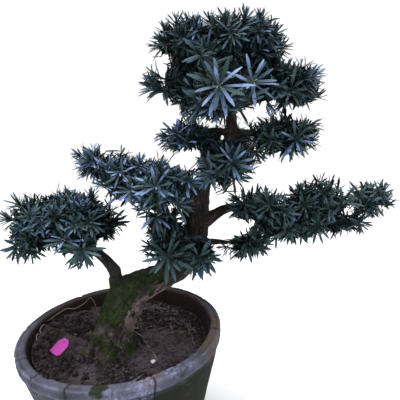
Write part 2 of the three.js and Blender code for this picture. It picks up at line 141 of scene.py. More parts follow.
def turn_ring(before: Vector, after: Vector, about: Vector) -> None:
    """Turns the selected ring from one direction to another.

    Args:
        before: The direction that the ring faces.
        after: The direction that it faces afterwards.
        about: The point that it turns about.
    """
    turn = before.rotation_difference(after).to_euler("XYZ")
    for axis, angle in zip("XYZ", turn):
        bpy.ops.transform.rotate(
            value=-angle, orient_axis=axis, orient_type="GLOBAL", center_override=about
        )


def widen_ring(grow: float, height: float) -> None:
    """Resizes the selected level ring about the pot's axis."""
    bpy.ops.transform.resize(value=(grow, grow, 1), center_override=(0, 0, height))


def settle(piece: Piece) -> Piece:
    """Puts a piece's place, turn and size into its mesh, so that its object sits at the origin."""
    select_only(piece)
    bpy.ops.object.transform_apply(location=True, rotation=True, scale=True)
    return piece


def fasten(piece: Piece, kind: str, **settings: object) -> None:
    """Adds a modifier to a piece and applies it.

    Args:
        piece: The object to change.
        kind: The modifier's type.
        settings: The modifier's values by name.
    """
    select_only(piece)
    modifier = piece.modifiers.new(kind.title(), kind)
    for name, value in settings.items():
        setattr(modifier, name, value)
    bpy.ops.object.modifier_apply(modifier=modifier.name)


def drill(piece: Piece, sides: int, radius: float, depth: float, place: Point) -> None:
    """Bores an upright round hole in a piece.

    Args:
        piece: The object to bore.
        sides: The number of the hole's sides.
        radius: The hole's radius.
        depth: The length of the bore.
        place: The bore's middle.
    """
    deselect()
    bpy.ops.mesh.primitive_cylinder_add(vertices=sides, radius=radius, depth=depth, location=place)
    bore = bpy.context.object
    fasten(piece, "BOOLEAN", operation="DIFFERENCE", object=bore, solver="EXACT")
    bpy.data.objects.remove(bore)


def linked(name: str, data: bpy.types.ID) -> Piece:
    """Makes an object that holds some data and puts it in the scene."""
    made = bpy.data.objects.new(name, data)
    bpy.context.scene.collection.objects.link(made)
    return made


def join(pieces: Sequence[Piece], name: str) -> Piece:
    """Joins objects into the first of them.

    Args:
        pieces: The objects to join.
        name: The joined object's name.

    Returns:
        The joined object.
    """
    select_only(pieces[0])
    for piece in pieces:
        piece.select_set(True)
    bpy.ops.object.join()
    pieces[0].name = name
    return pieces[0]


def smooth(piece: Piece, degrees: float) -> None:
    """Shades a piece smooth, with sharp edges past an angle."""
    select_only(piece)
    bpy.ops.object.shade_smooth_by_angle(angle=math.radians(degrees))


def places(piece: Piece) -> Array:
    """The places of a mesh's vertices, one row each."""
    found = np.empty(len(piece.data.vertices) * 3)
    piece.data.vertices.foreach_get("co", found)
    return found.reshape(-1, 3)


def normals(piece: Piece) -> Array:
    """The normals of a mesh's vertices, one row each."""
    found = np.empty(len(piece.data.vertices) * 3)
    piece.data.vertices.foreach_get("normal", found)
    return found.reshape(-1, 3)


def put_places(piece: Piece, rows: Array) -> None:
    """Moves a mesh's vertices to the places in the rows."""
    piece.data.vertices.foreach_set("co", rows.ravel())
    piece.data.update()


def put_attribute(piece: Piece, name: str, values: Array) -> None:
    """Stores a number or a vector at each vertex, for a material to read.

    Args:
        piece: The object whose mesh holds the values.
        name: The attribute's name.
        values: One number or one row of three for each vertex.
    """
    many = values.ndim == 2
    made = piece.data.attributes.new(name, "FLOAT_VECTOR" if many else "FLOAT", "POINT")
    made.data.foreach_set("vector" if many else "value", values.astype(np.float32).ravel())


def noise_at(rows: Array, scale: Point | float, seed: float = 0.0) -> Array:
    """Smooth noise from about -1 to 1 at points.

    Args:
        rows: Points, one row each.
        scale: Waves in a metre, for all axes or for each.
        seed: Moves the pattern to another part of the noise.

    Returns:
        One value for each point.
    """
    moved = rows * np.asarray(scale) + seed * 17.31
    return np.array([noise.noise(Vector(row)) for row in moved])


def ramp(values: Array, low: float, high: float) -> Array:
    """Values eased from 0 at low to 1 at high."""
    share = np.clip((values - low) / (high - low), 0, 1)
    return share * share * (3 - 2 * share)


def lengths(rows: Array) -> Array:
    """The length of each row."""
    return np.linalg.norm(rows, axis=-1)


def unit(rows: Array) -> Array:
    """Rows scaled to length 1."""
    return rows / np.maximum(np.linalg.norm(rows, axis=-1, keepdims=True), 1e-12)


# Repeated shapes


@dataclass(frozen=True)
class Pattern:
    """A small mesh that is modelled once and copied many times.

    Attributes:
        points: Its vertices, one row each.
        faces: Its faces as rows of vertex numbers.
    """

    points: Array
    faces: tuple[tuple[int, ...], ...]

    @classmethod
    def taken_from(cls, piece: Piece) -> "Pattern":
        """Reads a modelled piece and removes it.

        Args:
            piece: The object that was modelled.

        Returns:
            Its mesh as a pattern.
        """
        settle(piece)
        faces = tuple(tuple(face.vertices) for face in piece.data.polygons)
        pattern = cls(places(piece), faces)
        bpy.data.objects.remove(piece)
        return pattern

    def copied(self, name: str, copies: Array, tones: Array | None = None) -> Piece:
        """Joins many shaped copies into one object.

        Args:
            name: The object's name.
            copies: The copies' vertices, as copies x vertices x 3.
            tones: The material's number for each copy.

        Returns:
            The joined object.
        """
        count, size = copies.shape[:2]
        sizes = np.array([len(face) for face in self.faces])
        corners = np.concatenate([np.array(face) for face in self.faces])
        shift = np.arange(count)[:, None] * size
        mesh = bpy.data.meshes.new(name)
        mesh.vertices.add(count * size)
        mesh.vertices.foreach_set("co", copies.ravel())
        mesh.loops.add(count * len(corners))
        mesh.loops.foreach_set("vertex_index", (corners[None] + shift).ravel())
        every = np.tile(sizes, count)
        mesh.polygons.add(len(every))
        mesh.polygons.foreach_set("loop_start", np.concatenate([[0], np.cumsum(every)[:-1]]))
        if tones is not None:
            mesh.polygons.foreach_set("material_index", np.repeat(tones, len(sizes)))
        mesh.update(calc_edges=True)
        return linked(name, mesh)


def framed(origins: Array, *axes: tuple[Array, Array]) -> Array:
    """Sets a shape's vertices out from each origin along that copy's own directions.

    Args:
        origins: One place for each copy.
        axes: One direction for each copy, and how far each of its vertices stands along it.

    Returns:
        The copies' vertices, as copies x vertices x 3.
    """
    copies = origins[:, None]
    for direction, amount in axes:
        copies = copies + direction[:, None] * amount[..., None]
    return copies


def random_turns(count: int, random: Chance) -> Array:
    """Random turns as 3 x 3 matrices.

    Args:
        count: How many.
        random: The source of chance.

    Returns:
        The matrices, one for each.
    """
    first = unit(random.normal(size=(count, 3)))
    second = unit(np.cross(first, random.normal(size=(count, 3))))
    return np.stack([first, second, np.cross(first, second)], axis=1)


def tube(points: Array, radii: Array, sides: int) -> Tube:
    """A closed tube round a line of points.

    Args:
        points: The line, one row each.
        radii: The tube's radius at each point.
        sides: The number of its sides.

    Returns:
        Its vertices and its faces.
    """
    along = unit(np.gradient(points, axis=0))
    guide = np.array([0.0, 0.0, 1.0]) if abs(along[0, 2]) < 0.8 else np.array([1.0, 0.0, 0.0])
    across = unit(np.cross(along, guide))
    up = np.cross(across, along)
    turns = np.arange(sides) * 2 * math.pi / sides
    ring = across[:, None] * np.cos(turns)[None, :, None] + up[:, None] * np.sin(turns)[None, :, None]
    rows = (points[:, None] + ring * radii[:, None, None]).reshape(-1, 3)
    faces: list[tuple[int, ...]] = [tuple(range(sides))]
    for level in range(len(points) - 1):
        base = level * sides
        for side in range(sides):
            after = (side + 1) % sides
            faces.append((base + after, base + side, base + sides + side, base + sides + after))
    faces.append(tuple(reversed(range(len(rows) - sides, len(rows)))))
    return rows, faces


def joined_tubes(name: str, tubes: Sequence[Tube]) -> Piece:
    """Joins tubes into one object.

    Args:
        name: The object's name.
        tubes: Vertices and faces of each tube.

    Returns:
        The joined object.
    """
    rows = []
    faces = []
    start = 0
    for points, corners in tubes:
        rows.append(points)
        faces.extend(tuple(corner + start for corner in face) for face in corners)
        start += len(points)
    mesh = bpy.data.meshes.new(name)
    mesh.from_pydata(np.concatenate(rows).tolist(), [], faces)
    return linked(name, mesh)


def hand_over(
    piece: Piece,
    slot: Slot,
    *nodes: str,
    materials: Sequence[Material],
    degrees: float = 0.0,
) -> None:
    """Dresses a piece, fastens it to the object's body and says which parts it stands for.

    Args:
        piece: The finished piece.
        slot: The record's material slot for the piece. It is not used.
        nodes: The part's nodes that it replaces.
        materials: Its materials, in the order of its faces' numbers.
        degrees: The angle past which its edges stay sharp, or 0 where all do.
    """
    for material in materials:
        piece.data.materials.append(material)
    if degrees:
        smooth(piece, degrees)
    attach(piece, BODY)
    if nodes:
        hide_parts(*nodes)
    replaced = ", ".join(nodes) or "nothing"
    LOG.info("%s: %d faces, replaces %s", piece.name, len(piece.data.polygons), replaced)


# Materials


class Nodes:
    """A material's node tree, with short calls for the nodes that the finishes share."""

    def __init__(self, name: str) -> None:
        """Starts a material with its shader and output."""
        self.material = bpy.data.materials.new(name)
        self.material.use_nodes = True
        self.tree = self.material.node_tree
        self.shader = next(node for node in self.tree.nodes if node.type == "BSDF_PRINCIPLED")
        self.place = self.tree.nodes.new("ShaderNodeTexCoord").outputs["Object"]

    def join(self, source: object, target: Socket) -> None:
        """Links a socket to an input, or sets the input to a number or an opaque colour."""
        if isinstance(source, Socket):
            self.tree.links.new(source, target)
        else:
            target.default_value = (*source, 1.0) if target.type == "RGBA" else source

    def node(self, kind: str, inputs: dict[str | int, object]) -> bpy.types.Node:
        """Adds a node.

        Args:
            kind: The node's type.
            inputs: What each input is linked or set to, by its name or number.

        Returns:
            The node.
        """
        node = self.tree.nodes.new(kind)
        for name, source in inputs.items():
            self.join(source, node.inputs[name])
        return node

    def attribute(self, name: str, output: str = "Fac") -> Socket:
        """Reads a value that is stored at the mesh's vertices."""
        node = self.node("ShaderNodeAttribute", {})
        node.attribute_name = name
        return node.outputs[output]

    def scaled(self, scale: Point, source: Socket | None = None) -> Socket:
        """Coordinates with each axis scaled, for a pattern that is drawn out one way."""
        inputs = {"Vector": source or self.place, "Scale": scale}
        return self.node("ShaderNodeMapping", inputs).outputs["Vector"]

    def noise(
        self,
        scale: float,
        detail: float = 4.0,
        rough: float = 0.6,
        source: Socket | None = None,
    ) -> Socket:
        """Noise from 0 to 1.

        Args:
            scale: Waves in a metre.
            detail: Octaves of finer noise.
            rough: The strength of the finer octaves.
            source: The coordinates, or the object's own.

        Returns:
            The noise's value.
        """
        inputs = {"Vector": source or self.place, "Scale": scale, "Detail": detail, "Roughness": rough}
        return self.node("ShaderNodeTexNoise", inputs).outputs["Fac"]

    def spread(
        self, source: Socket, low: float, high: float, to_low: float = 0.0, to_high: float = 1.0
    ) -> Socket:
        """A value taken from one range to another, and held at its ends.

        Args:
            source: The value.
            low: The range's start.
            high: The range's end.
            to_low: What the start becomes.
            to_high: What the end becomes.

        Returns:
            The new value.
        """
        inputs = {"Value": source, "From Min": low, "From Max": high, "To Min": to_low, "To Max": to_high}
        return self.node("ShaderNodeMapRange", inputs).outputs["Result"]

    def math(self, operation: str, first: object, second: object = 0.0) -> Socket:
        """One sum on two values."""
        node = self.node("ShaderNodeMath", {0: first, 1: second})
        node.operation = operation
        return node.outputs[0]

    def axis(self, name: str, source: Socket | None = None) -> Socket:
        """One axis of the coordinates."""
        return self.node("ShaderNodeSeparateXYZ", {0: source or self.place}).outputs[name]

    def near(self, spot: Point, reach: float) -> Socket:
        """1 at a spot, falling to 0 at its reach.

        Args:
            spot: The place, in metres.
            reach: The distance at which the value is 0.

        Returns:
            The value.
        """
        node = self.node("ShaderNodeVectorMath", {0: self.place, 1: spot})
        node.operation = "DISTANCE"
        return self.spread(node.outputs["Value"], reach, 0.0)

    def spots(self, spots: Sequence[Spot]) -> Socket:
        """The strongest of several round spots at each point, from 0 to 1."""
        found = self.near(*spots[0])
        for spot in spots[1:]:
            found = self.math("MAXIMUM", found, self.near(*spot))
        return found

    def patches(
        self, spots: Sequence[Spot], scale: float, low: float = 0.80, high: float = 0.98
    ) -> Socket:
        """Ragged patches where the spots are.

        Args:
            spots: The middle and the reach of each.
            scale: The raggedness, in waves to a metre.
            low: The sum of spot and noise at which a patch begins.
            high: The sum at which it is full.

        Returns:
            A value from 0 to 1.
        """
        return self.spread(self.math("ADD", self.spots(spots), self.noise(scale, 6, 0.7)), low, high)

    def blend(self, share: object, first: object, second: object) -> Socket:
        """Mixes two colours.

        Args:
            share: 0 for the first colour and 1 for the second.
            first: A colour or a colour socket.
            second: A colour or a colour socket.

        Returns:
            The mixed colour.
        """
        node = self.node("ShaderNodeMix", {})
        node.data_type = "RGBA"
        self.join(share, node.inputs["Factor"])
        colours = [socket for socket in node.inputs if socket.type == "RGBA"]
        for value, target in zip((first, second), colours):
            self.join(value, target)
        return next(socket for socket in node.outputs if socket.type == "RGBA")

    def bump(self, height: Socket, distance: float, strength: float = 1.0) -> None:
        """Roughens the surface.

        Args:
            height: The relief, from 0 to 1.
            distance: The relief's height in metres.
            strength: How much of it shows.
        """
        node = self.node("ShaderNodeBump", {"Height": height, "Distance": distance, "Strength": strength})
        self.join(node.outputs["Normal"], self.shader.inputs["Normal"])

    def finish(self, colour: object, rough: object, gloss: float = 0.5) -> Material:
        """Sets the shader's colour, roughness and gloss.

        Args:
            colour: The base colour.
            rough: The roughness.
            gloss: The specular level.

        Returns:
            The material.
        """
        self.join(colour, self.shader.inputs["Base Color"])
        self.join(rough, self.shader.inputs["Roughness"])
        self.join(gloss, self.shader.inputs["Specular IOR Level"])
        return self.material


@dataclass(frozen=True)
class ClayFinish:
    """Weathered unglazed clay: grey skin, bare orange patches, white salts, moss and wet algae below the
    rim and at the foot; painted shade darkens the back of the rim and the inside, and partly the wall below
    the band; a pale line on the rim's edges is partly painted highlight.
    """

    grey: Colour = (0.118, 0.120, 0.174)
    dark: Colour = (0.047, 0.048, 0.057)
    fired: Colour = (0.118, 0.080, 0.064)
    # Painted shade for the back of the rim.
    back_shade: Colour = (0.023, 0.018, 0.017)
    # Near black: painted shade inside the pot.
    inside: Colour = (0.014, 0.007, 0.007)
    salts: Colour = (0.26, 0.28, 0.46)
    moss: Colour = (0.020, 0.024, 0.012)
    algae: Colour = (0.010, 0.012, 0.008)
    roughness: float = 0.88
    fired_spots: tuple[Spot, ...] = (
        ((0.206, -0.010, 0.298), 0.075),
        ((0.196, -0.078, 0.298), 0.050),
        ((0.080, -0.188, 0.300), 0.038),
        ((-0.050, -0.195, 0.300), 0.016),
    )
    moss_spots: tuple[Spot, ...] = (((-0.004, -0.214, 0.298), 0.026),)
    salt_spots: tuple[Spot, ...] = (
        ((0.122, -0.170, 0.300), 0.030),
        ((0.158, -0.158, 0.296), 0.016),
        ((0.075, -0.212, 0.288), 0.044),
        ((0.020, -0.222, 0.276), 0.036),
    )
    wet_spots: tuple[Spot, ...] = (
        ((0.200, -0.120, 0.200), 0.210),
        ((0.110, -0.185, 0.255), 0.090),
        ((0.060, -0.180, 0.120), 0.150),
        ((-0.140, 0.120, 0.120), 0.190),
        ((0.000, 0.000, 0.000), 0.190),
    )

    def material(self) -> Material:
        """Makes the material."""
        nodes = Nodes("weathered_clay")
        height = nodes.axis("Z")
        mottle = nodes.spread(nodes.noise(24, 6, 0.65), 0.35, 0.68)
        colour = nodes.blend(mottle, self.dark, self.grey)
        speck = nodes.spread(nodes.noise(260, 3, 0.7), 0.42, 0.62)
        colour = nodes.blend(nodes.math("MULTIPLY", speck, 0.35), colour, self.dark)
        # The wall below the band is darkened: partly algae, partly painted shade under the ledge.
        body = nodes.spread(height, 0.277, 0.268, 0.0, 0.62)
        colour = nodes.blend(body, colour, self.dark)
        ragged = nodes.spread(nodes.noise(26, 6, 0.7), 0.3, 0.7, -0.4, 0.4)
        # A pale line in the salts' colour along the band's ledge and the rim's top arris: partly salts and
        # wear, partly painted highlight on the edges.
        above = nodes.spread(height, 0.2735, 0.2755)
        ledge = nodes.math("MULTIPLY", above, nodes.spread(height, 0.2805, 0.2775))
        edges = nodes.math("MAXIMUM", nodes.math("MULTIPLY", ledge, 0.6), nodes.attribute("arris"))
        worn_and_lit = nodes.spread(nodes.noise(45, 5, 0.65), 0.40, 0.60, 0.05, 0.62)
        colour = nodes.blend(nodes.math("MULTIPLY", edges, worn_and_lit), colour, self.salts)
        wet = nodes.spread(nodes.math("ADD", nodes.spots(self.wet_spots), ragged), 0.05, 0.42)
        below = nodes.spread(height, 0.284, 0.262)
        colour = nodes.blend(nodes.math("MULTIPLY", wet, below), colour, self.algae)
        fired = nodes.math("MULTIPLY", nodes.patches(self.fired_spots, 38, 0.55, 1.25), 0.9)
        colour = nodes.blend(fired, colour, self.fired)
        streak = nodes.noise(1.0, 5, 0.7, nodes.scaled((150, 150, 60)))
        salt = nodes.spread(streak, 0.42, 0.68, 0.0, 0.9)
        salt = nodes.math("MULTIPLY", nodes.patches(self.salt_spots, 60, 0.65, 1.15), salt)
        colour = nodes.blend(salt, colour, self.salts)
        colour = nodes.blend(nodes.patches(self.moss_spots, 100), colour, self.moss)
        # Painted shade: the rim's top is darkened towards the back.
        back = nodes.spread(nodes.axis("Y"), -0.02, 0.13, 0.0, 0.92)
        back = nodes.math("MULTIPLY", back, nodes.spread(height, 0.27, 0.29))
        colour = nodes.blend(back, colour, self.back_shade)
        # Painted shade: the inner wall is darkened to near black.
        colour = nodes.blend(nodes.attribute("inner"), colour, self.inside)
        colour = nodes.blend(nodes.attribute("crack"), colour, self.algae)
        coarse = nodes.math("MULTIPLY", nodes.noise(70, 4, 0.6), 1.5)
        nodes.bump(nodes.math("ADD", nodes.noise(420, 3, 0.7), coarse), 0.0012, 0.8)
        return nodes.finish(colour, self.roughness, 0.15)


@dataclass(frozen=True)
class EarthFinish:
    """Damp crumbly soil or one tone of its crumbs, paler at the slopes' spots, darkened as painted shade at
    other given spots, and with moss where given.
    """

    name: str
    dark: Colour
    light: Colour
    slopes: tuple[Spot, ...] = ()
    shade_spots: tuple[Spot, ...] = ()
    mossy: tuple[Spot, ...] = ()
    pale_patch: Colour = (0.170, 0.132, 0.150)
    moss: Colour = (0.018, 0.026, 0.009)
    roughness: float = 0.95

    def material(self) -> Material:
        """Makes the material."""
        nodes = Nodes(self.name)
        tone = nodes.spread(nodes.noise(60, 6, 0.7), 0.38, 0.66)
        colour = nodes.blend(tone, self.dark, self.light)
        grain = nodes.spread(nodes.noise(150, 6, 0.85), 0.38, 0.60)
        layers = (
            # The soil is paler at the slopes' spots.
            (self.slopes, self.pale_patch, 0.75),
            # Painted shade: the soil is darkened at the listed spots, mostly at the back.
            (self.shade_spots, self.dark, 0.9),
            (self.mossy, self.moss, 0.9),
        )
        for spots, added, most in layers:
            if spots:
                share = nodes.math("MULTIPLY", nodes.patches(spots, 55, 0.62, 1.15), most)
                colour = nodes.blend(nodes.math("MULTIPLY", share, grain), colour, added)
        nodes.bump(nodes.math("ADD", nodes.noise(380, 5, 0.75), nodes.noise(120, 4, 0.7)), 0.006)
        return nodes.finish(colour, self.roughness, 0.2)


@dataclass(frozen=True)
class BarkFinish:
    """Fissured bark with moss: it reads the grain, relief and moss that are stored at the vertices."""

    plate: Colour = (0.012, 0.009, 0.0085)
    ridge: Colour = (0.072, 0.055, 0.054)
    bare: Colour = (0.198, 0.149, 0.152)
    crack: Colour = (0.004, 0.003, 0.003)
    twig: Colour = (0.020, 0.018, 0.013)
    moss_dark: Colour = (0.006, 0.009, 0.004)
    moss_light: Colour = (0.056, 0.078, 0.026)
    roughness: float = 0.9

    def material(self) -> Material:
        """Makes the material."""
        nodes = Nodes("bark")
        grain = nodes.attribute("grain", "Vector")
        relief = nodes.attribute("relief")
        streak = nodes.noise(1.0, 6, 0.65, nodes.scaled((150, 150, 32), grain))
        colour = nodes.blend(nodes.spread(streak, 0.42, 0.64), self.plate, self.ridge)
        colour = nodes.blend(nodes.attribute("bare"), colour, self.bare)
        # Thin limbs take the darker twig colour, and so does most of the left bough, where it is painted
        # shade.
        colour = nodes.blend(nodes.attribute("young"), colour, self.twig)
        colour = nodes.blend(nodes.spread(relief, 0.46, 0.10, 0.0, 0.8), colour, self.crack)
        grime = nodes.spread(nodes.noise(40, 6, 0.7), 0.46, 0.58, 0.0, 0.85)
        colour = nodes.blend(grime, colour, self.plate)
        tuft = nodes.spread(nodes.noise(210, 5, 0.75), 0.35, 0.68)
        moss = nodes.blend(tuft, self.moss_dark, self.moss_light)
        moss = nodes.blend(nodes.spread(nodes.noise(48, 5, 0.7), 0.42, 0.60), moss, self.moss_dark)
        ragged = nodes.spread(nodes.noise(85, 6, 0.8), 0.3, 0.7, -0.55, 0.55)
        edge = nodes.math("ADD", nodes.attribute("moss"), ragged)
        colour = nodes.blend(nodes.spread(edge, 0.35, 0.60), colour, moss)
        fine = nodes.noise(1.0, 4, 0.7, nodes.scaled((420, 420, 110), grain))
        nodes.bump(fine, 0.0012, 0.9)
        return nodes.finish(colour, self.roughness, 0.25)


@dataclass(frozen=True)
class MossFinish:
    """Small cushions of moss on the bark."""

    dark: Colour = (0.007, 0.012, 0.005)
    light: Colour = (0.060, 0.084, 0.028)

    def material(self) -> Material:
        """Makes the material."""
        nodes = Nodes("moss")
        tone = nodes.spread(nodes.noise(130, 4, 0.7), 0.36, 0.66)
        return nodes.finish(nodes.blend(tone, self.dark, self.light), 0.95, 0.15)


@dataclass(frozen=True)
class LeafFinish:
    """One tone of leathery leaf: darker towards its stalk and lighter and bluer towards its tip as a
    painted sky sheen, darker below as painted shade, and with a blue-tinted gloss.
    """

    name: str
    base: Colour
    tip: Colour
    gloss: float = 0.4
    roughness: float = 0.48
    gloss_tint: Colour = (0.60, 0.76, 1.0)
    # How far the underside is darkened, as painted shade.
    under: float = 0.75

    def material(self) -> Material:
        """Makes the material."""
        nodes = Nodes(self.name)
        blade = nodes.attribute("blade", "Vector")
        # Lighter and bluer towards the tip: a painted sky sheen on the leaf's outer part.
        mottle = nodes.spread(nodes.noise(60, 3, 0.6), 0.35, 0.65, -0.25, 0.25)
        along = nodes.math("ADD", nodes.spread(nodes.axis("X", blade), 0.20, 0.85), mottle)
        colour = nodes.blend(nodes.spread(along, 0.0, 1.0), self.base, self.tip)
        # Painted shade: the underside is darkened towards 0.4 of the base colour.
        shade = nodes.spread(nodes.axis("Z", blade), 0.08, -0.12, 0.0, self.under)
        colour = nodes.blend(shade, colour, tuple(0.4 * channel for channel in self.base))
        made = nodes.finish(colour, self.roughness, self.gloss)
        nodes.join(self.gloss_tint, nodes.shader.inputs["Specular Tint"])
        return made


@dataclass(frozen=True)
class PlainFinish:
    """A slightly mottled colour, for the tag, twigs, litter and pebble."""

    name: str
    base: Colour
    roughness: float = 0.7
    mottle: float = 0.35
    scale: float = 90.0
    relief: float = 0.0004

    def material(self) -> Material:
        """Makes the material."""
        nodes = Nodes(self.name)
        deeper = tuple((1 - self.mottle) * channel for channel in self.base)
        tone = nodes.spread(nodes.noise(self.scale, 5, 0.65), 0.35, 0.62)
        nodes.bump(nodes.noise(self.scale * 4, 4, 0.7), self.relief, 0.7)
        return nodes.finish(nodes.blend(tone, deeper, self.base), self.roughness, 0.35)


class LeafTone(Enum):
    """The tones that sprays of leaves are dealt: lit and shaded copies of one leaf, from DEEP, painted
    shade, through GREEN and BLUE to PALE, painted sky sheen; TEAL is the right bough's greener tone and NEW
    the yellow buds.
    """

    DEEP = LeafFinish("leaf_deep", (0.004, 0.008, 0.006), (0.009, 0.018, 0.017), 0.22)
    GREEN = LeafFinish("leaf_green", (0.009, 0.022, 0.015), (0.023, 0.047, 0.044), 0.35)
    TEAL = LeafFinish("leaf_teal", (0.010, 0.026, 0.019), (0.043, 0.078, 0.074), 0.4)
    BLUE = LeafFinish("leaf_blue", (0.011, 0.028, 0.024), (0.044, 0.083, 0.120), 0.45)
    PALE = LeafFinish("leaf_pale", (0.018, 0.040, 0.050), (0.155, 0.218, 0.400), 0.5)
    NEW = LeafFinish("leaf_new", (0.160, 0.155, 0.070), (0.260, 0.250, 0.140), 0.4)


# Limbs


@dataclass(frozen=True)
class Course:
    """A limb's line at even steps, with the frame that its girth is drawn in.

    Attributes:
        points: Places along the line.
        radii: The radius at each.
        along: The line's direction at each.
        across: The first direction of each ring.
        third: The second direction of each ring.
        run: The length so far at each.
    """

    points: Array
    radii: Array
    along: Array
    across: Array
    third: Array
    run: Array


@dataclass(frozen=True)
class Limb:
    """The trunk or one tapering bough: a smooth curve through knots of place and radius, in millimetres."""

    name: str
    knots: tuple[Knot, ...]

    def curve(self, per_span: int = 40) -> tuple[Array, Array]:
        """Points on the centripetal curve through the knots.

        Args:
            per_span: Points between two knots.

        Returns:
            Places and radii, in metres.
        """
        knots = np.array(self.knots) * MM
        line = knots[:, :3]
        ends = np.concatenate([[2 * line[0] - line[1]], line, [2 * line[-1] - line[-2]]])
        share = np.linspace(0, 1, per_span, endpoint=False)[:, None]
        rows = []
        radii = []
        for i in range(len(line) - 1):
            before, start, end, after = ends[i : i + 4]
            step_in, step, step_out = (
                math.sqrt(np.linalg.norm(b - a)) for a, b in ((before, start), (start, end), (end, after))
            )
            leave = (start - before) / step_in - (end - before) / (step_in + step) + (end - start) / step
            reach = (end - start) / step - (after - start) / (step + step_out) + (after - end) / step_out
            leave = leave * step
            reach = reach * step
            square = -3 * start + 3 * end - 2 * leave - reach
            cube = 2 * start - 2 * end + leave + reach
            rows.append(start + leave * share + square * share**2 + cube * share**3)
            radii.append(knots[i, 3] + (knots[i + 1, 3] - knots[i, 3]) * share[:, 0])
        rows.append(line[-1:])
        radii.append(knots[-1:, 3])
        return np.concatenate(rows), np.concatenate(radii)

    def course(self, step: float) -> Course:
        """The limb's line at even steps.

        Args:
            step: The distance between two points, in metres.

        Returns:
            The line with its radii and frames.
        """
        rows, radii = self.curve()
        run = np.concatenate([[0], np.cumsum(lengths(np.diff(rows, axis=0)))])
        even = np.linspace(0, run[-1], max(int(run[-1] / step), 3) + 1)
        points = np.stack([np.interp(even, run, rows[:, i]) for i in range(3)], axis=1)
        along = unit(np.gradient(points, axis=0))
        least = np.zeros(3)
        least[np.argmin(np.abs(along[0]))] = 1.0
        across = [np.cross(along[0], unit(np.cross(along[0], least)))]
        for before, after in pairwise(along):
            turn = Vector(before).rotation_difference(Vector(after))
            across.append(np.array(turn @ Vector(across[-1])))
        across = unit(np.array(across))
        return Course(points, np.interp(even, run, radii), along, across, np.cross(along, across), even)


LIMBS = (
    Limb(
        "trunk",
        (
            (-12, -62, 256, 46), (-9, -60, 280, 44), (-3, -57, 323, 38), (13, -50, 365, 38),
            (34, -41, 397, 36), (76, -23, 414, 30), (112, -9, 423, 26), (147, 1, 439, 27),
            (170, 7, 471, 26), (182, 10, 512, 28), (184, 11, 558, 27), (193, 9, 602, 22),
            (218, 5, 638, 16), (248, 0, 676, 13), (267, -3, 716, 12), (268, -3, 758, 10),
            (263, 0, 810, 7.5), (260, 0, 862, 4.5),
        ),
    ),
    Limb(
        "bough_left",
        (
            (18, -40, 392, 18), (10, -38, 424, 14), (7, -36, 447, 12.5), (-6, -35, 469, 11),
            (-21, -34, 485, 9.5), (-43, -33, 498, 8.5), (-74, -32, 509, 7), (-104, -32, 520, 5.5),
        ),
    ),
    Limb(
        "bough_left_back",
        ((-24, -34, 487, 6), (-44, -12, 500, 5.5), (-66, 12, 512, 5), (-88, 30, 522, 4)),
    ),
    Limb(
        "bough_right",
        (
            (186, 10, 520, 17), (206, 7, 532, 15), (226, 4, 546, 11.5), (246, 2, 557, 10),
            (274, -2, 563, 8.6), (325, -4, 559, 7.4), (384, -3, 548, 6.4), (450, 2, 541, 5.5),
            (508, 10, 545, 4.5),
        ),
    ),
    Limb("bough_right_low", ((166, 4, 476, 12), (200, 2, 486, 8), (228, 0, 486, 6), (252, -3, 484, 4.5))),
    Limb("bough_front_low", ((150, 2, 446, 11), (150, -28, 458, 7), (148, -50, 470, 5))),
    Limb(
        "bough_middle",
        (
            (191, 9, 588, 13), (166, -8, 602, 9), (134, -20, 612, 8), (96, -24, 622, 7),
            (54, -20, 638, 6), (22, -14, 652, 4.5),
        ),
    ),
    Limb("bough_back", ((188, 10, 574, 13), (172, 38, 584, 8.5), (146, 68, 595, 6))),
    Limb("bough_upper_left", ((267, -3, 716, 9), (240, -6, 724, 6.5), (210, -8, 726, 4.5))),
    Limb("bough_upper_right", ((266, -3, 712, 10), (292, -4, 716, 7), (322, -4, 711, 5))),
    Limb("bough_upper_back", ((268, -3, 742, 9), (270, 28, 752, 6.5), (272, 58, 762, 4.5))),
    Limb(
        "bough_crown_left",
        (
            (266, -2, 774, 8), (238, -8, 786, 6), (208, -14, 796, 5.5), (178, -18, 804, 4.5),
        ),
    ),
    Limb(
        "bough_crown_right",
        (
            (267, -2, 764, 8), (296, -6, 772, 6), (328, -8, 780, 5.5), (358, -8, 786, 4.5),
        ),
    ),
    Limb("bough_crown_front", ((267, -3, 760, 8), (262, -32, 776, 6), (254, -62, 788, 4.5))),
)


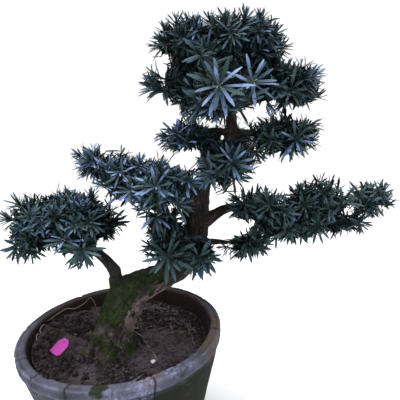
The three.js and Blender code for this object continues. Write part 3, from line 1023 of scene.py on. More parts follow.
@dataclass
class Wood:
    """The trunk and boughs as one mesh: rings extruded along each limb, fused, then carved as bark."""

    ring_step: float = 7 * MM
    ring_sides: int = 20
    voxel: float = 2.0 * MM
    sink: float = 5 * MM
    station_step: float = 2.5 * MM
    root_fade: float = 22 * MM
    root_spread: float = 0.16
    root_count: int = 5
    root_turn: float = 0.9
    fissure_depth: float = 0.075
    fissure_most: float = 2.3 * MM
    fissure_least: float = 0.35 * MM
    moss_top: Pair = (420 * MM, 465 * MM)
    moss_right: Pair = (100 * MM, 150 * MM)
    moss_gap: Pair = (-362 * MM, -325 * MM)
    moss_bough: Pair = (425 * MM, 455 * MM)
    moss_foot: Pair = (62 * MM, 22 * MM)
    moss_side: Point = (-0.58, -0.34, 0.74)
    moss_height: float = 2.2 * MM
    bare_side: Point = (0.75, -0.55, -0.30)
    bare_top: Pair = (-440 * MM, -380 * MM)
    thin: Pair = (-9 * MM, -5.5 * MM)
    tuft_count: int = 11000
    knobs: tuple[tuple[Point, float, float], ...] = (
        ((0.060, -0.036, 0.440), 0.014, 4.5 * MM),
        ((0.017, -0.036, 0.452), 0.010, 2.5 * MM),
        ((-0.036, -0.066, 0.352), 0.012, 3.0 * MM),
    )
    tuft_length: float = 3.0 * MM
    tuft_radius: float = 0.9 * MM
    tuft_lean: float = 0.42
    tuft_sink: float = 0.5 * MM
    finish: BarkFinish = field(default_factory=BarkFinish)
    moss_finish: MossFinish = field(default_factory=MossFinish)

    def limb_tube(self, limb: Limb) -> Piece:
        """Extrudes one limb, ring by ring.

        Args:
            limb: The limb to follow.

        Returns:
            The closed tube.
        """
        course = limb.course(self.ring_step)
        stations = [Vector(row) for row in course.points]
        facing = [Vector(row) for row in course.along]
        deselect()
        bpy.ops.mesh.primitive_circle_add(
            vertices=self.ring_sides,
            radius=course.radii[0],
            fill_type="NGON",
            location=stations[0],
            rotation=facing[0].to_track_quat("Z", "Y").to_euler(),
        )
        piece = bpy.context.object
        with editing(piece):
            bpy.ops.mesh.select_all(action="SELECT")
            for i in range(1, len(stations)):
                grow = course.radii[i] / course.radii[i - 1]
                raise_ring(stations[i] - stations[i - 1], grow, stations[i])
                turn_ring(facing[i - 1], facing[i], stations[i])
            face_outwards()
        return settle(piece)

    def fused(self) -> Piece:
        """All limbs fused into one skin, cut flat just under the soil's surface.

        Returns:
            The smooth wood, without bark.
        """
        wood = join([self.limb_tube(limb) for limb in LIMBS], "wood")
        fasten(wood, "REMESH", mode="VOXEL", voxel_size=self.voxel, use_smooth_shade=True)
        fasten(wood, "SMOOTH", factor=0.5, iterations=8)
        with editing(wood):
            bpy.ops.mesh.select_all(action="SELECT")
            bpy.ops.mesh.bisect(
                plane_co=(0, 0, GROUND - self.sink), plane_no=(0, 0, 1), use_fill=True, clear_inner=True
            )
        return wood

    def nearest(self, rows: Array) -> tuple[Array, ...]:
        """Finds the limb under each point of the skin.

        Args:
            rows: Points on the skin.

        Returns:
            Each point's outward direction, and the limb's radius, angle, run and number there.
        """
        courses = [limb.course(self.station_step) for limb in LIMBS]
        stacked = {
            name: np.concatenate([getattr(course, name) for course in courses])
            for name in ("points", "radii", "across", "third", "along", "run")
        }
        number = np.concatenate([np.full(len(course.run), i) for i, course in enumerate(courses)])
        best = np.empty(len(rows), int)
        for start in range(0, len(rows), 4000):
            part = rows[start : start + 4000]
            apart = lengths(part[:, None] - stacked["points"][None])
            best[start : start + 4000] = np.argmin(apart - stacked["radii"][None], axis=1)
        near = {name: values[best] for name, values in stacked.items()}
        away = rows - near["points"]
        away -= np.sum(away * near["along"], axis=1, keepdims=True) * near["along"]
        angle = np.arctan2(np.sum(away * near["third"], axis=1), np.sum(away * near["across"], axis=1))
        return unit(away), near["radii"], angle, near["run"], number[best]

    def relief(self, rows: Array, grain: Array) -> Array:
        """The bark's fissures and plates.

        Args:
            rows: Points on the skin.
            grain: The same points laid out round and along their limb.

        Returns:
            The relief, from 0 in a fissure to 1 on a ridge.
        """
        plates = noise_at(grain, (105, 105, 19), 3) + 0.45 * noise_at(grain, (230, 230, 60), 4)
        fissure = 1 - np.clip(np.abs(plates) / 0.24, 0, 1)
        open_share = 0.55 + 0.45 * ramp(noise_at(rows, 22, 9), -0.2, 0.3)
        fine = noise_at(grain, (420, 420, 150), 5)
        return np.clip(0.62 - 0.5 * fissure * open_share + 0.3 * fine, 0, 1)

    def cover(
        self, rows: Array, facing: Array, number: Array
    ) -> tuple[Array, Array]:
        """Where the skin is mossy and where its bark is bare and pale.

        Args:
            rows: Points on the skin.
            facing: The carved skin's normal at each.
            number: The limb's number at each.

        Returns:
            The moss and the bareness, from 0 to 1.
        """
        height = rows[:, 2]
        patch = noise_at(rows, 26, 6) + 0.5 * noise_at(rows, 70, 7)
        under_top = 1 - ramp(height, *self.moss_top)
        right = ramp(rows[:, 0], *self.moss_right)
        gap = 0.9 * ramp(-height + 16 * MM * patch, *self.moss_gap)
        bough = (number == 1) * ramp(height, *self.moss_bough)
        moss = ramp(facing @ unit(np.array(self.moss_side)) + 1.2 * patch, -0.30, 0.30)
        moss = moss * under_top * (1 - right) * (1 - gap) * (1 - bough)
        high, low = self.moss_foot
        foot = ramp(-height - 0.3 * rows[:, 0], -GROUND - high, -GROUND - low)
        moss = np.maximum(moss, foot * ramp(patch, -0.42, 0.28) * 0.95) * (number <= 1)
        bare = ramp(facing @ unit(np.array(self.bare_side)) + 0.4 * patch, 0.55, 1.0)
        bare *= ramp(-height, *self.bare_top)
        ashen = 0.30 * gap * (number == 0) * ramp(patch + 0.6 * noise_at(rows, 150, 10), -0.35, 0.25)
        return moss, np.maximum(bare, ashen)

    def carve(self, wood: Piece) -> None:
        """Gives the skin its root flare, swellings, fissures and moss, and stores what the finish reads.

        Args:
            wood: The smooth wood.
        """
        rows = places(wood)
        outward, radius, angle, run, number = self.nearest(rows)
        trunk = number == 0
        grain = np.stack([radius * np.cos(angle), radius * np.sin(angle), run + number * 0.7], axis=1)
        foot = np.exp(-np.maximum(rows[:, 2] - GROUND, 0) / self.root_fade) * trunk
        roots = self.root_spread * (1 + np.cos(self.root_count * angle + self.root_turn))
        swell = 0.06 * np.sin(3 * angle + 21 * run) + 0.04 * np.sin(2 * angle - 34 * run)
        lump = 0.20 * noise_at(grain, (30, 30, 14), 1) + 0.11 * noise_at(grain, (75, 75, 32), 2)
        lump += 0.07 * noise_at(grain, (150, 150, 80), 11)
        relief = self.relief(rows, grain)
        depth = np.clip(self.fissure_depth * radius, self.fissure_least, self.fissure_most)
        out = radius * (foot * roots + swell + lump * np.where(trunk, 1.0, 0.7)) + depth * (relief - 0.6)
        for place, reach, rise in self.knobs:
            out += rise * np.exp(-((lengths(rows - place) / reach) ** 2))
        cut = rows[:, 2] < GROUND - self.sink + 0.1 * MM
        moved = rows + outward * out[:, None]
        moved[cut, 2] = rows[cut, 2]
        put_places(wood, moved)
        facing = normals(wood)
        moss, bare = self.cover(rows, facing, number)
        bumpy = 0.55 + 0.45 * noise_at(rows, 320, 8)
        put_places(wood, moved + facing * (self.moss_height * ramp(moss, 0.45, 0.8) * bumpy)[:, None])
        # Thin limbs darken towards the twig colour; the left bough is darkened as painted shade.
        young = np.maximum(ramp(-radius, *self.thin), 0.75 * (number == 1))
        stored = {"grain": grain, "relief": relief, "moss": moss, "bare": bare, "young": young}
        for name, values in stored.items():
            put_attribute(wood, name, values)

    def tufts(self, wood: Piece) -> Piece:
        """Small upright shoots of moss on the mossy skin.

        Args:
            wood: The carved wood.

        Returns:
            The joined tufts.
        """
        random = np.random.default_rng(11)
        moss = np.empty(len(wood.data.vertices), np.float32)
        wood.data.attributes["moss"].data.foreach_get("value", moss)
        rows = places(wood)
        facing = normals(wood)
        chance = ramp(moss, 0.45, 0.9)
        picked = random.choice(len(rows), self.tuft_count, p=chance / chance.sum())
        deselect()
        bpy.ops.mesh.primitive_cone_add(vertices=3, radius1=1, radius2=0, depth=1, location=(0, 0, 0.5))
        pattern = Pattern.taken_from(bpy.context.object)
        up = unit(facing[picked] + self.tuft_lean * random.normal(size=(self.tuft_count, 3)))
        side = unit(np.cross(up, random.normal(size=up.shape)))
        third = np.cross(up, side)
        wide = self.tuft_radius * random.uniform(0.6, 1.3, self.tuft_count)
        tall = self.tuft_length * random.uniform(0.4, 1.1, self.tuft_count)
        x, y, z = pattern.points.T
        copies = framed(
            rows[picked],
            (side, wide[:, None] * x),
            (third, wide[:, None] * y),
            (up, tall[:, None] * z - self.tuft_sink),
        )
        return pattern.copied("moss_tufts", copies)

    def build(self) -> None:
        """Models the wood and its moss, dresses them and hands them over."""
        wood = self.fused()
        self.carve(wood)
        wood.data.materials.clear()
        names = (limb.name for limb in LIMBS)
        hand_over(wood, Slot.BARK, *names, materials=[self.finish.material()], degrees=80)
        hand_over(self.tufts(wood), Slot.BARK, materials=[self.moss_finish.material()])


# Foliage


@dataclass(frozen=True)
class Pad:
    """A mass of foliage: the limb that carries it, and the middle and reach of its space in millimetres."""

    name: str
    limb: str
    centre: Point
    reach: Point
    fullness: float = 1.0


class Tier(Enum):
    """The masses in groups that are joined into one piece of leaves each."""

    LEFT = (
        Pad("pad_left_outer", "bough_left", (-144, -42, 557), (54, 76, 68)),
        Pad("pad_left_inner", "bough_left", (-62, -36, 564), (85, 82, 61)),
        Pad("pad_left_right", "bough_left", (-15, -22, 544), (46, 64, 42)),
        Pad("pad_left_low", "bough_left", (-42, -84, 524), (49, 64, 47), 0.6),
        Pad("pad_left_back", "bough_left_back", (-108, 62, 552), (93, 66, 64)),
    )

    MIDDLE = (
        Pad("pad_middle_tip", "bough_middle", (-11, -14, 676), (45, 60, 38)),
        Pad("pad_middle", "bough_middle", (46, -30, 640), (60, 70, 62)),
        Pad("pad_middle_front", "bough_middle", (121, -66, 625), (78, 81, 61), 0.75),
        Pad("pad_middle_back", "bough_back", (90, 98, 608), (89, 67, 62)),
    )

    CENTRE = (
        Pad("pad_centre_left", "trunk", (122, -14, 543), (50, 64, 60)),
        Pad("pad_front_low", "bough_front_low", (135, -92, 513), (60, 69, 45), 0.55),
        Pad("pad_front_low_right", "bough_front_low", (187, -58, 486), (45, 62, 40), 0.6),
        Pad("pad_right_low", "bough_right_low", (289, -12, 488), (53, 62, 39)),
    )

    RIGHT = (
        Pad("pad_right_inner", "bough_right", (316, -30, 559), (70, 74, 50)),
        Pad("pad_right_middle", "bough_right", (440, -6, 552), (82, 73, 69)),
        Pad("pad_right_under", "bough_right", (386, -18, 525), (93, 66, 41)),
        Pad("pad_right_end", "bough_right", (502, -2, 526), (48, 56, 38)),
        Pad("pad_right_tip", "bough_right", (561, 16, 557), (53, 60, 43)),
    )

    WAIST = (
        Pad("pad_waist", "trunk", (243, -62, 666), (64, 73, 54), 0.65),
        Pad("pad_waist_back", "trunk", (261, 84, 668), (80, 71, 72)),
        Pad("pad_upper_left", "bough_upper_left", (182, -6, 714), (75, 62, 39)),
        Pad("pad_upper_right", "bough_upper_right", (366, -6, 704), (92, 70, 47)),
    )

    CROWN = (
        Pad("pad_crown_left", "bough_crown_left", (143, -22, 820), (50, 62, 42)),
        Pad("pad_crown_inner_left", "bough_crown_left", (192, -14, 809), (39, 64, 68)),
        Pad("pad_crown_front", "bough_crown_front", (240, -116, 800), (73, 83, 66), 0.5),
        Pad("pad_crown_inner_right", "bough_crown_right", (337, -20, 814), (47, 67, 56)),
        Pad("pad_crown_right", "bough_crown_right", (386, -10, 799), (70, 80, 59)),
        Pad("pad_crown_back", "bough_upper_back", (257, 104, 802), (104, 73, 68)),
    )

    TOP = (
        Pad("pad_top_left", "trunk", (182, -16, 890), (62, 89, 64)),
        Pad("pad_top_middle", "trunk", (259, -60, 888), (60, 76, 54)),
        Pad("pad_top_right", "trunk", (310, -14, 880), (75, 91, 66)),
        Pad("pad_top_back", "trunk", (251, 82, 893), (97, 66, 63)),
    )


# Gaps that show the sky from the front: a place across and up on the plane y = 0 on its line of
# sight, and its radius, in millimetres.
OPENINGS = (
    (505, 533, 14), (149, 545, 10), (135, 837, 9), (142, 819, 12), (146, 760, 17), (122, 772, 17),
    (307, 755, 13), (333, 766, 12), (402, 751, 10), (446, 757, 16), (174, 673, 18), (195, 681, 8),
    (228, 515, 23), (262, 518, 21), (290, 518, 14), (147, 869, 10), (136, 853, 11), (140, 821, 10),
    (124, 798, 9), (133, 569, 9), (136, 877, 7), (355, 773, 8), (389, 761, 8), (291, 733, 7),
    (250, 711, 7), (6, 700, 8), (4, 687, 7), (146, 664, 8), (426, 611, 7), (533, 586, 6), (-5, 612, 7),
    (7, 596, 8), (14, 587, 8), (584, 541, 7), (96, 563, 6), (497, 526, 9), (303, 528, 7), (-24, 503, 8),
    (-92, 476, 7),
)


class Way(Enum):
    """How a large rosette faces: its share towards the eye, and what is added to that."""

    FRONT = (0.85, (0.0, 0.0, 0.22))
    UP = (0.35, (0.0, 0.0, 0.9))
    LEFT = (0.45, (-0.8, 0.0, 0.3))
    RIGHT = (0.45, (0.8, 0.0, 0.3))
    DOWN = (0.75, (0.0, 0.0, -0.5))


# Large rosettes by the way they face: their leaves' length and their tip's place, in millimetres.
STARS = {
    Way.FRONT: (
        (46, 118, -127, 641), (40, 176, -100, 644), (38, 217, -112, 656), (38, 48, -78, 663),
        (42, -62, -115, 549), (40, -113, -87, 577), (40, -18, -87, 571), (54, 130, -145, 513),
        (50, 189, -103, 491), (40, 112, -109, 579), (56, 237, -182, 808), (50, 295, -155, 811),
        (46, 259, -116, 674), (34, 157, -44, 727), (38, 339, -45, 728), (46, 386, -59, 703),
        (46, 329, -77, 581), (44, 282, -62, 584), (42, 403, -50, 570), (40, 428, -63, 528),
        (36, 565, -16, 581), (40, 486, -48, 574), (42, 290, -52, 501), (34, 314, -87, 897),
        (34, 266, -120, 892), (34, 186, -89, 893), (34, 220, -99, 874), (34, 337, -56, 704),
        (38, 155, -118, 602), (36, 69, -111, 634), (34, 17, -78, 638), (36, 360, -73, 564),
        (36, 451, -62, 563), (32, 528, -4, 570), (36, -43, -99, 570), (34, -131, -85, 591),
    ),
    Way.UP: (
        (36, 126, -103, 668), (34, 83, -48, 674), (34, 16, -64, 674), (36, -84, -90, 594),
        (36, 14, -56, 592), (38, 366, -60, 830), (38, 121, -66, 822), (36, 165, -61, 832),
        (36, 448, -48, 594), (36, 399, -33, 592), (32, 173, -76, 922), (32, 208, -74, 918),
        (34, 257, -115, 912), (34, 292, -92, 920), (32, 320, -68, 920), (30, 150, -40, 916),
        (30, 232, -60, 926), (32, 244, -73, 622), (30, 578, -10, 583), (32, -20, -40, 612),
        (28, 212, -48, 722), (26, 196, -58, 738), (26, 300, -40, 732),
    ),
    Way.LEFT: (
        (34, -15, -58, 685), (42, -137, -104, 550), (38, -159, -69, 611), (34, 135, -40, 720),
        (34, 145, -75, 892), (36, 134, -26, 889), (34, -174, -88, 587), (34, 244, -13, 479),
        (34, 268, -46, 589), (34, 98, -127, 529), (30, -40, -28, 694), (54, 131, -50, 812),
        (36, 133, -45, 834),
    ),
    Way.RIGHT: (
        (42, 20, -36, 556), (44, 402, -73, 814), (36, 423, -36, 728), (40, 544, -25, 559),
        (36, 345, -82, 890), (34, 420, -60, 818), (34, 362, -63, 870),
    ),
    Way.DOWN: (
        (46, -26, -127, 525), (42, 373, -71, 791), (42, 370, -68, 523), (40, 212, -121, 858),
        (40, -162, -98, 527), (36, -137, -92, 518), (34, 316, -53, 489), (40, 174, -104, 476),
        (36, 204, -102, 483), (38, 287, -159, 775), (34, 313, -27, 673), (34, 519, -43, 519),
        (28, 190, -75, 759), (26, 232, -62, 758), (26, 330, -60, 764),
    ),
}
BUDS = ((237, -182, 808), (295, -155, 811), (-137, -104, 550), (-159, -69, 611), (-62, -115, 549))


@dataclass(frozen=True)
class Shoot:
    """The end of a twig: its tip, the way it points, and its leaves' number, length, spread and tone."""

    tip: Array
    axis: Array
    leaves: int
    length: float
    spread: Pair
    tone: LeafTone
    star: bool = False
    bud: bool = False


@dataclass
class Foliage:
    """Twigs that branch from one stem in each mass's space, and the leaves set round their ends."""

    leaf_length: float = 42 * MM
    leaf_width: float = 6.0 * MM
    leaf_thick: float = 1.5 * MM
    stalk: float = 17 * MM
    leaves_each: tuple[int, int] = (11, 16)
    star_leaves: int = 17
    large_star: float = 43
    green_from: Pair = (0.265, 0.76)
    lean: Pair = (1.2, 0.25)
    star_lean: Pair = (1.5, 0.45)
    up_lean: Pair = (1.05, 0.15)
    shoot_area: float = 700 * MM * MM
    inner_share: float = 0.30
    tip_inset: float = 27 * MM
    inset_jitter: float = 6 * MM
    least_inset: float = 8 * MM
    least_share: float = 0.12
    share_step: float = 0.04
    bud_share: float = 0.02
    rise_jitter: float = 0.07
    turn_jitter: float = 0.3
    length_range: Pair = (0.72, 1.12)
    axis_squash: Point = (1, 1, 0.7)
    axis_lift: float = 0.42
    axis_jitter: float = 0.26
    pale_share: Pair = (0.02, 0.22)
    blue_share: Pair = (0.08, 0.40)
    green_share: Pair = (0.26, 0.52)
    new_leaves: int = 3
    new_length: float = 0.17
    top_length: float = 0.52
    lean_jitter: float = 0.12
    leaf_turn_jitter: float = 0.15
    face_up: float = 0.45
    face_jitter: float = 0.20
    trial_lengths: tuple[float, ...] = (1.0, 0.9, 0.8, 0.7)
    trial_places: tuple[float, ...] = (0.35, 0.7, 1.0)
    gap_waves: Point = (977.0, 313.0, 1771.0)
    stem_gap: float = 15 * MM
    stem_sag: float = 6 * MM
    star_green: float = 0.55
    star_blue: Pair = (0.15, 1.2)
    star_pale: Pair = (0.55, 0.4)
    inner_inset: float = 50 * MM
    span: float = 1.86
    lump_scales: Pair = (1.7, 4.2)
    lump_depths: Pair = (34 * MM, 20 * MM)
    bare_above: float = 0.38
    star_clear: float = 17 * MM
    space_beyond: Pair = (-12 * MM, 12 * MM)
    star_beyond: float = 32 * MM
    space_margin: float = 0.04
    limb_margin: float = 2 * MM
    droop: float = 0.16
    cover_steps: tuple[float, ...] = (14 * MM, 30 * MM, 50 * MM, 75 * MM, 105 * MM)
    cover_way: Point = (-0.10, -0.42, 0.90)
    tier_heights: tuple[float, ...] = (0.48, 0.56, 0.61, 0.69, 0.72, 0.76, 0.79, 0.83, 0.85, 0.885, 0.92)
    tier_light: tuple[float, ...] = (0.25, 0.75, 1.2, 1.3, 2.1, 1.8, 0.9, 0.8, 0.0, 0.05, 0.28)
    stray_light: float = 0.12
    stem_radius: float = 3.6 * MM
    twig_radius: float = 1.8 * MM
    tip_radius: float = 1.0 * MM
    bend: float = 0.40
    star_bend: float = 0.15
    eye: Point = EYE
    pads: tuple[Pad, ...] = tuple(pad for tier in Tier for pad in tier.value)

    def __post_init__(self) -> None:
        """Sets out the spaces, the limbs that leaves keep clear of, and the large rosettes' places."""
        self.centres = np.array([pad.centre for pad in self.pads]) * MM
        self.reaches = np.array([pad.reach for pad in self.pads]) * MM
        courses = {limb.name: limb.course(5 * MM) for limb in LIMBS}
        self.lines = {name: course.points for name, course in courses.items()}
        self.limb_points = np.concatenate([course.points for course in courses.values()])
        self.limb_radii = np.concatenate([course.radii for course in courses.values()])
        self.starts: dict[str, Array] = {}
        self.star_rows = [(way, length, tip) for way, rows in STARS.items() for length, *tip in rows]
        self.star_tips = np.array([tip for _, _, tip in self.star_rows]) * MM
        self.star_pads = np.argmin(self.depths(self.star_tips), axis=1)

    def depths(self, rows: Array) -> Array:
        """How far out points lie in each mass's space: 0 in its middle and 1 at its skin.

        Args:
            rows: Points, one row each.

        Returns:
            One row for each point and one column for each mass.
        """
        return lengths((rows[:, None] - self.centres[None]) / self.reaches[None])

    def owned(self, pad: int, rows: Array) -> Array:
        """Whether points are a mass's own: inside it and clearly deeper than in any other.

        Args:
            pad: The mass's number.
            rows: Points, one row each.

        Returns:
            True or False for each point.
        """
        depth = self.depths(rows)
        own = depth[:, pad].copy()
        depth[:, pad] = np.inf
        return (own <= 1) & (own + self.space_margin < depth.min(axis=1))

    def beyond(self, rows: Array) -> Array:
        """How far points lie outside the foliage's skin, or inside it where negative."""
        depth = self.depths(rows)
        away = lengths(rows[:, None] - self.centres[None])
        return (away * (1 - 1 / np.maximum(depth, 1e-6))).min(axis=1)

    def exposure(self, tip: Array) -> float:
        """The share of the way up to the light that lies outside all masses, times the tier's light."""
        above = tip + np.array(self.cover_steps)[:, None] * unit(np.array(self.cover_way))
        light = np.interp(tip[2], self.tier_heights, self.tier_light)
        return float(((self.depths(above).min(axis=1) > 1).mean() + self.stray_light) * light)

    def open_sky(self, rows: Array) -> Array:
        """Whether points lie in a gap that shows the sky from the front."""
        found = np.zeros(len(rows), bool)
        eye = np.array(self.eye)
        for across, up, radius in OPENINGS:
            line = unit(np.array([across, 0, up]) * MM - eye)
            away = rows - eye
            run = away @ line
            apart = lengths(away - run[:, None] * line)
            found |= apart < radius * MM * (0.95 + 0.25 * np.sin(rows @ self.gap_waves))
        return found

    def clear_of_limbs(self, rows: Array) -> Array:
        """Whether points are clear of the trunk and boughs."""
        apart = lengths(rows[:, None] - self.limb_points[None]) - self.limb_radii[None]
        return apart.min(axis=1) > self.limb_margin

    def stem(self, pad: int) -> Array:
        """The line from a mass's limb to its middle, clear of the stems already there.

        Args:
            pad: The mass's number.

        Returns:
            Points along the stem.
        """
        line = self.lines[self.pads[pad].limb]
        for start in self.starts.values():
            line = line[lengths(line - start) > self.stem_gap]
        root = line[np.argmin(lengths(line - self.centres[pad]))]
        self.starts[self.pads[pad].name] = root
        share = np.linspace(0, 1, 6)[:, None]
        sag = np.array([0, 0, 1.0]) * (share * (1 - share)) * self.stem_sag
        return root + (self.centres[pad] - root) * share + sag

    def tone(self, tip: Array, random: Chance) -> LeafTone:
        """Deals a spray its tone: the more open the way up to the light, the more often it is pale.

        Args:
            tip: The spray's place.
            random: The source of chance.

        Returns:
            The tone.
        """
        open_share = self.exposure(tip)
        draw = random.uniform()
        if draw < self.pale_share[0] + self.pale_share[1] * open_share**2:
            return self.greener(LeafTone.PALE, tip, random)
        if draw < self.blue_share[0] + self.blue_share[1] * open_share:
            return self.greener(LeafTone.BLUE, tip, random)
        if draw < self.green_share[0] + self.green_share[1] * open_share:
            return LeafTone.GREEN
        return LeafTone.DEEP

    def greener(self, tone: LeafTone, tip: Array, random: Chance) -> LeafTone:
        """Takes most sprays of the long right-hand bough from a blue tone to a green one.

        Args:
            tone: The tone that the spray was dealt.
            tip: The spray's place.
            random: The source of chance.

        Returns:
            The tone that it keeps.
        """
        on_bough = tip[0] > self.green_from[0] and tip[2] < self.green_from[1]
        return LeafTone.TEAL if random.uniform() < (0.8 if on_bough else 0.2) else tone

    def free_tip(self, pad: int, skin: Array, inset: float, jitter: float) -> Array | None:
        """Finds a shoot's tip on the way out from a mass's middle to its skin.

        Args:
            pad: The mass's number.
            skin: The way from the middle to the skin.
            inset: How far inside the skin tips stand on the whole.
            jitter: How much deeper this one stands.

        Returns:
            The tip, or None where a gap, a large rosette, a limb or another mass takes its place.
        """
        middle = self.centres[pad]
        place = Vector(skin / self.reaches[pad].mean()) + Vector((3.7 * pad, 0, 0))
        coarse, fine = (noise.noise(place * scale) for scale in self.lump_scales)
        if coarse + 0.5 * fine > self.bare_above:
            return None
        depth = inset + coarse * self.lump_depths[0] + fine * self.lump_depths[1] + jitter
        share = max(1 - max(depth, self.least_inset) / np.linalg.norm(skin), 0.15)
        while share > self.least_share and not self.owned(pad, (middle + skin * share)[None])[0]:
            share -= self.share_step
        tip = middle + skin * share
        crowded = lengths(self.star_tips - tip).min() < self.star_clear
        if share <= self.least_share or crowded or not self.clear_of_limbs(tip[None])[0]:
            return None
        return tip

    def layer(self, pad: int, count: int, inset: float, random: Chance) -> list[Shoot]:
        """Shoots round a mass, a little inside its skin, in uneven groups with gaps between.

        Args:
            pad: The mass's number.
            count: How many places are tried.
            inset: How far their tips stand inside the skin.
            random: The source of chance.

        Returns:
            The shoots that keep to the mass's space.
        """
        found = []
        for i in range(count):
            rise = 1 - self.span * (i + 0.5) / count + random.normal() * self.rise_jitter
            rise = np.clip(rise, -1, 1)
            turn = GOLDEN_ANGLE * i + random.normal() * self.turn_jitter
            ring = math.sqrt(1 - rise * rise)
            out = np.array([ring * math.cos(turn), ring * math.sin(turn), rise])
            jitter = random.normal(size=4)
            leaves = int(random.integers(*self.leaves_each))
            length = self.leaf_length * random.uniform(*self.length_range)
            skin = out * self.reaches[pad]
            tip = self.free_tip(pad, skin, inset, jitter[0] * self.inset_jitter)
            if tip is None:
                continue
            lift = np.array([0, 0, self.axis_lift])
            axis = unit(unit(skin) * self.axis_squash + lift + jitter[1:] * self.axis_jitter)
            tone = self.tone(tip, random)
            bud = random.uniform() < self.bud_share
            found.append(Shoot(tip, axis, leaves, length, self.lean, tone, bud=bud))
        return found

    def stars(self, pad: int, random: Chance) -> list[Shoot]:
        """The large rosettes of one mass that show from the front.

        Args:
            pad: The mass's number.
            random: The source of chance.

        Returns:
            Their shoots.
        """
        found = []
        for (way, length, place), tip, owner in zip(self.star_rows, self.star_tips, self.star_pads):
            if owner != pad:
                continue
            share, added = way.value
            outward = unit((tip - self.centres[pad]) / self.reaches[pad] ** 2)
            axis = unit(share * unit(np.array(self.eye) - tip) + np.array(added) + 0.3 * outward)
            lit = self.exposure(tip)
            draw = random.uniform()
            tone = LeafTone.GREEN if draw < self.star_green + lit else LeafTone.DEEP
            if draw < self.star_blue[0] + self.star_blue[1] * lit:
                tone = LeafTone.BLUE
            if draw < (self.star_pale[0] + self.star_pale[1] * (length > self.large_star)) * lit:
                tone = LeafTone.PALE
            tone = self.greener(tone, tip, random)
            spread = self.star_lean if way in (Way.FRONT, Way.DOWN) else self.up_lean
            leaves = self.star_leaves + (3 if way == Way.UP else 0)
            bud = tuple(place) in BUDS
            found.append(Shoot(tip, axis, leaves, length * MM, spread, tone, star=True, bud=bud))
        return found

    def shoots(self, pad: int, random: Chance) -> list[Shoot]:
        """All shoots of one mass.

        Args:
            pad: The mass's number.
            random: The source of chance.

        Returns:
            The large rosettes, the outer shoots and the inner ones.
        """
        x, y, z = self.reaches[pad]
        outer = round((x * y + y * z + x * z) * 4 / self.shoot_area * self.pads[pad].fullness)
        found = self.stars(pad, random)
        found += self.layer(pad, outer, self.tip_inset, random)
        found += self.layer(pad, round(outer * self.inner_share), self.inner_inset, random)
        return found

    def twigs(self, pad: int, shoots: Sequence[Shoot]) -> list[Tube]:
        """Grows the stem and a twig to each shoot, each from the nearest wood that is nearer the middle.

        Args:
            pad: The mass's number.
            shoots: The shoots to reach.

        Returns:
            The tubes.
        """
        stem = self.stem(pad)
        tubes = [tube(stem, np.linspace(self.stem_radius, self.twig_radius, len(stem)), 6)]
        wood = list(stem[2:])
        middle = self.centres[pad]
        for shoot in sorted(shoots, key=lambda shoot: float(np.linalg.norm(shoot.tip - middle))):
            rows = np.array(wood)
            reach = lengths(rows - shoot.tip)
            deeper = lengths(rows - middle) < np.linalg.norm(shoot.tip - middle) - 4 * MM
            cost = np.where(deeper, reach, np.inf)
            start = rows[int(np.argmin(cost))] if deeper.any() else middle
            bend = self.star_bend if shoot.star else self.bend
            knee = shoot.tip - shoot.axis * np.linalg.norm(shoot.tip - start) * bend
            share = np.linspace(0, 1, 5)[:, None]
            line = (1 - share) ** 2 * start + 2 * share * (1 - share) * knee + share**2 * shoot.tip
            tubes.append(tube(line, np.linspace(self.twig_radius, self.tip_radius, 5), 3))
            wood.extend(line[2:4])
        return tubes

    def leaf_pattern(self) -> Pattern:
        """Models one leaf: a slim blunt strap with a keel below, one unit long and two wide.

        Returns:
            The pattern.
        """
        stations = ((0.0, 0.26), (0.22, 0.88), (0.78, 1.0), (1.0, 0.34))
        deselect()
        bpy.ops.mesh.primitive_circle_add(
            vertices=3, radius=stations[0][1], fill_type="NGON", rotation=(-math.pi / 2, 0, -math.pi / 2)
        )
        piece = settle(bpy.context.object)
        with editing(piece):
            bpy.ops.mesh.select_all(action="SELECT")
            for (before, slim), (after, wide) in pairwise(stations):
                raise_ring(Vector((after - before, 0, 0)), wide / slim, Vector((after, 0, 0)))
            face_outwards()
            bpy.ops.transform.resize(value=(1, 1.155, 0.5), center_override=(0, 0, 0))
        return Pattern.taken_from(piece)

    def leaf_rows(self, shoots: Sequence[Shoot], random: Chance) -> Leaves:
        """Sets leaves round each shoot by the golden angle, the oldest lowest and widest apart.

        Args:
            shoots: The shoots.
            random: The source of chance.

        Returns:
            The values by name of the leaves that fit.
        """
        tones = list(LeafTone)
        least, most = self.space_beyond
        rows = []
        for shoot in shoots:
            side = unit(np.cross(shoot.axis, random.normal(size=3)))
            third = np.cross(shoot.axis, side)
            widest, steepest = shoot.spread
            shades = (shoot.tone,)
            if shoot.star:
                shades = (shoot.tone, shoot.tone, LeafTone.BLUE, LeafTone.GREEN)
            for k in range(shoot.leaves):
                age = 1 - (k + 0.5) / shoot.leaves
                lean = steepest + (widest - steepest) * age**0.8 + random.normal() * self.lean_jitter
                turn = GOLDEN_ANGLE * k + random.normal() * self.leaf_turn_jitter
                around = side * math.cos(turn) + third * math.sin(turn)
                sink = self.droop * (0.3 + age) * random.uniform(0.2, 1.8)
                along = shoot.axis * math.cos(lean) + around * math.sin(lean) - np.array([0, 0, sink])
                along = unit(along)
                up = shoot.axis * 0.75 + np.array([0, 0, self.face_up])
                face = up + random.normal(size=3) * self.face_jitter
                newest = shoot.bud and k >= shoot.leaves - self.new_leaves
                grown = self.top_length + (1 - self.top_length) * age**0.5
                grown = self.new_length if newest else grown * random.uniform(0.86, 1.08)
                curl = random.uniform(-0.02, 0.16) + 0.10 * age
                shade = shades[int(random.integers(len(shades)))]
                beyond = self.star_beyond
                if not shoot.star:
                    beyond = least + (most - least) * random.uniform() ** 2.2
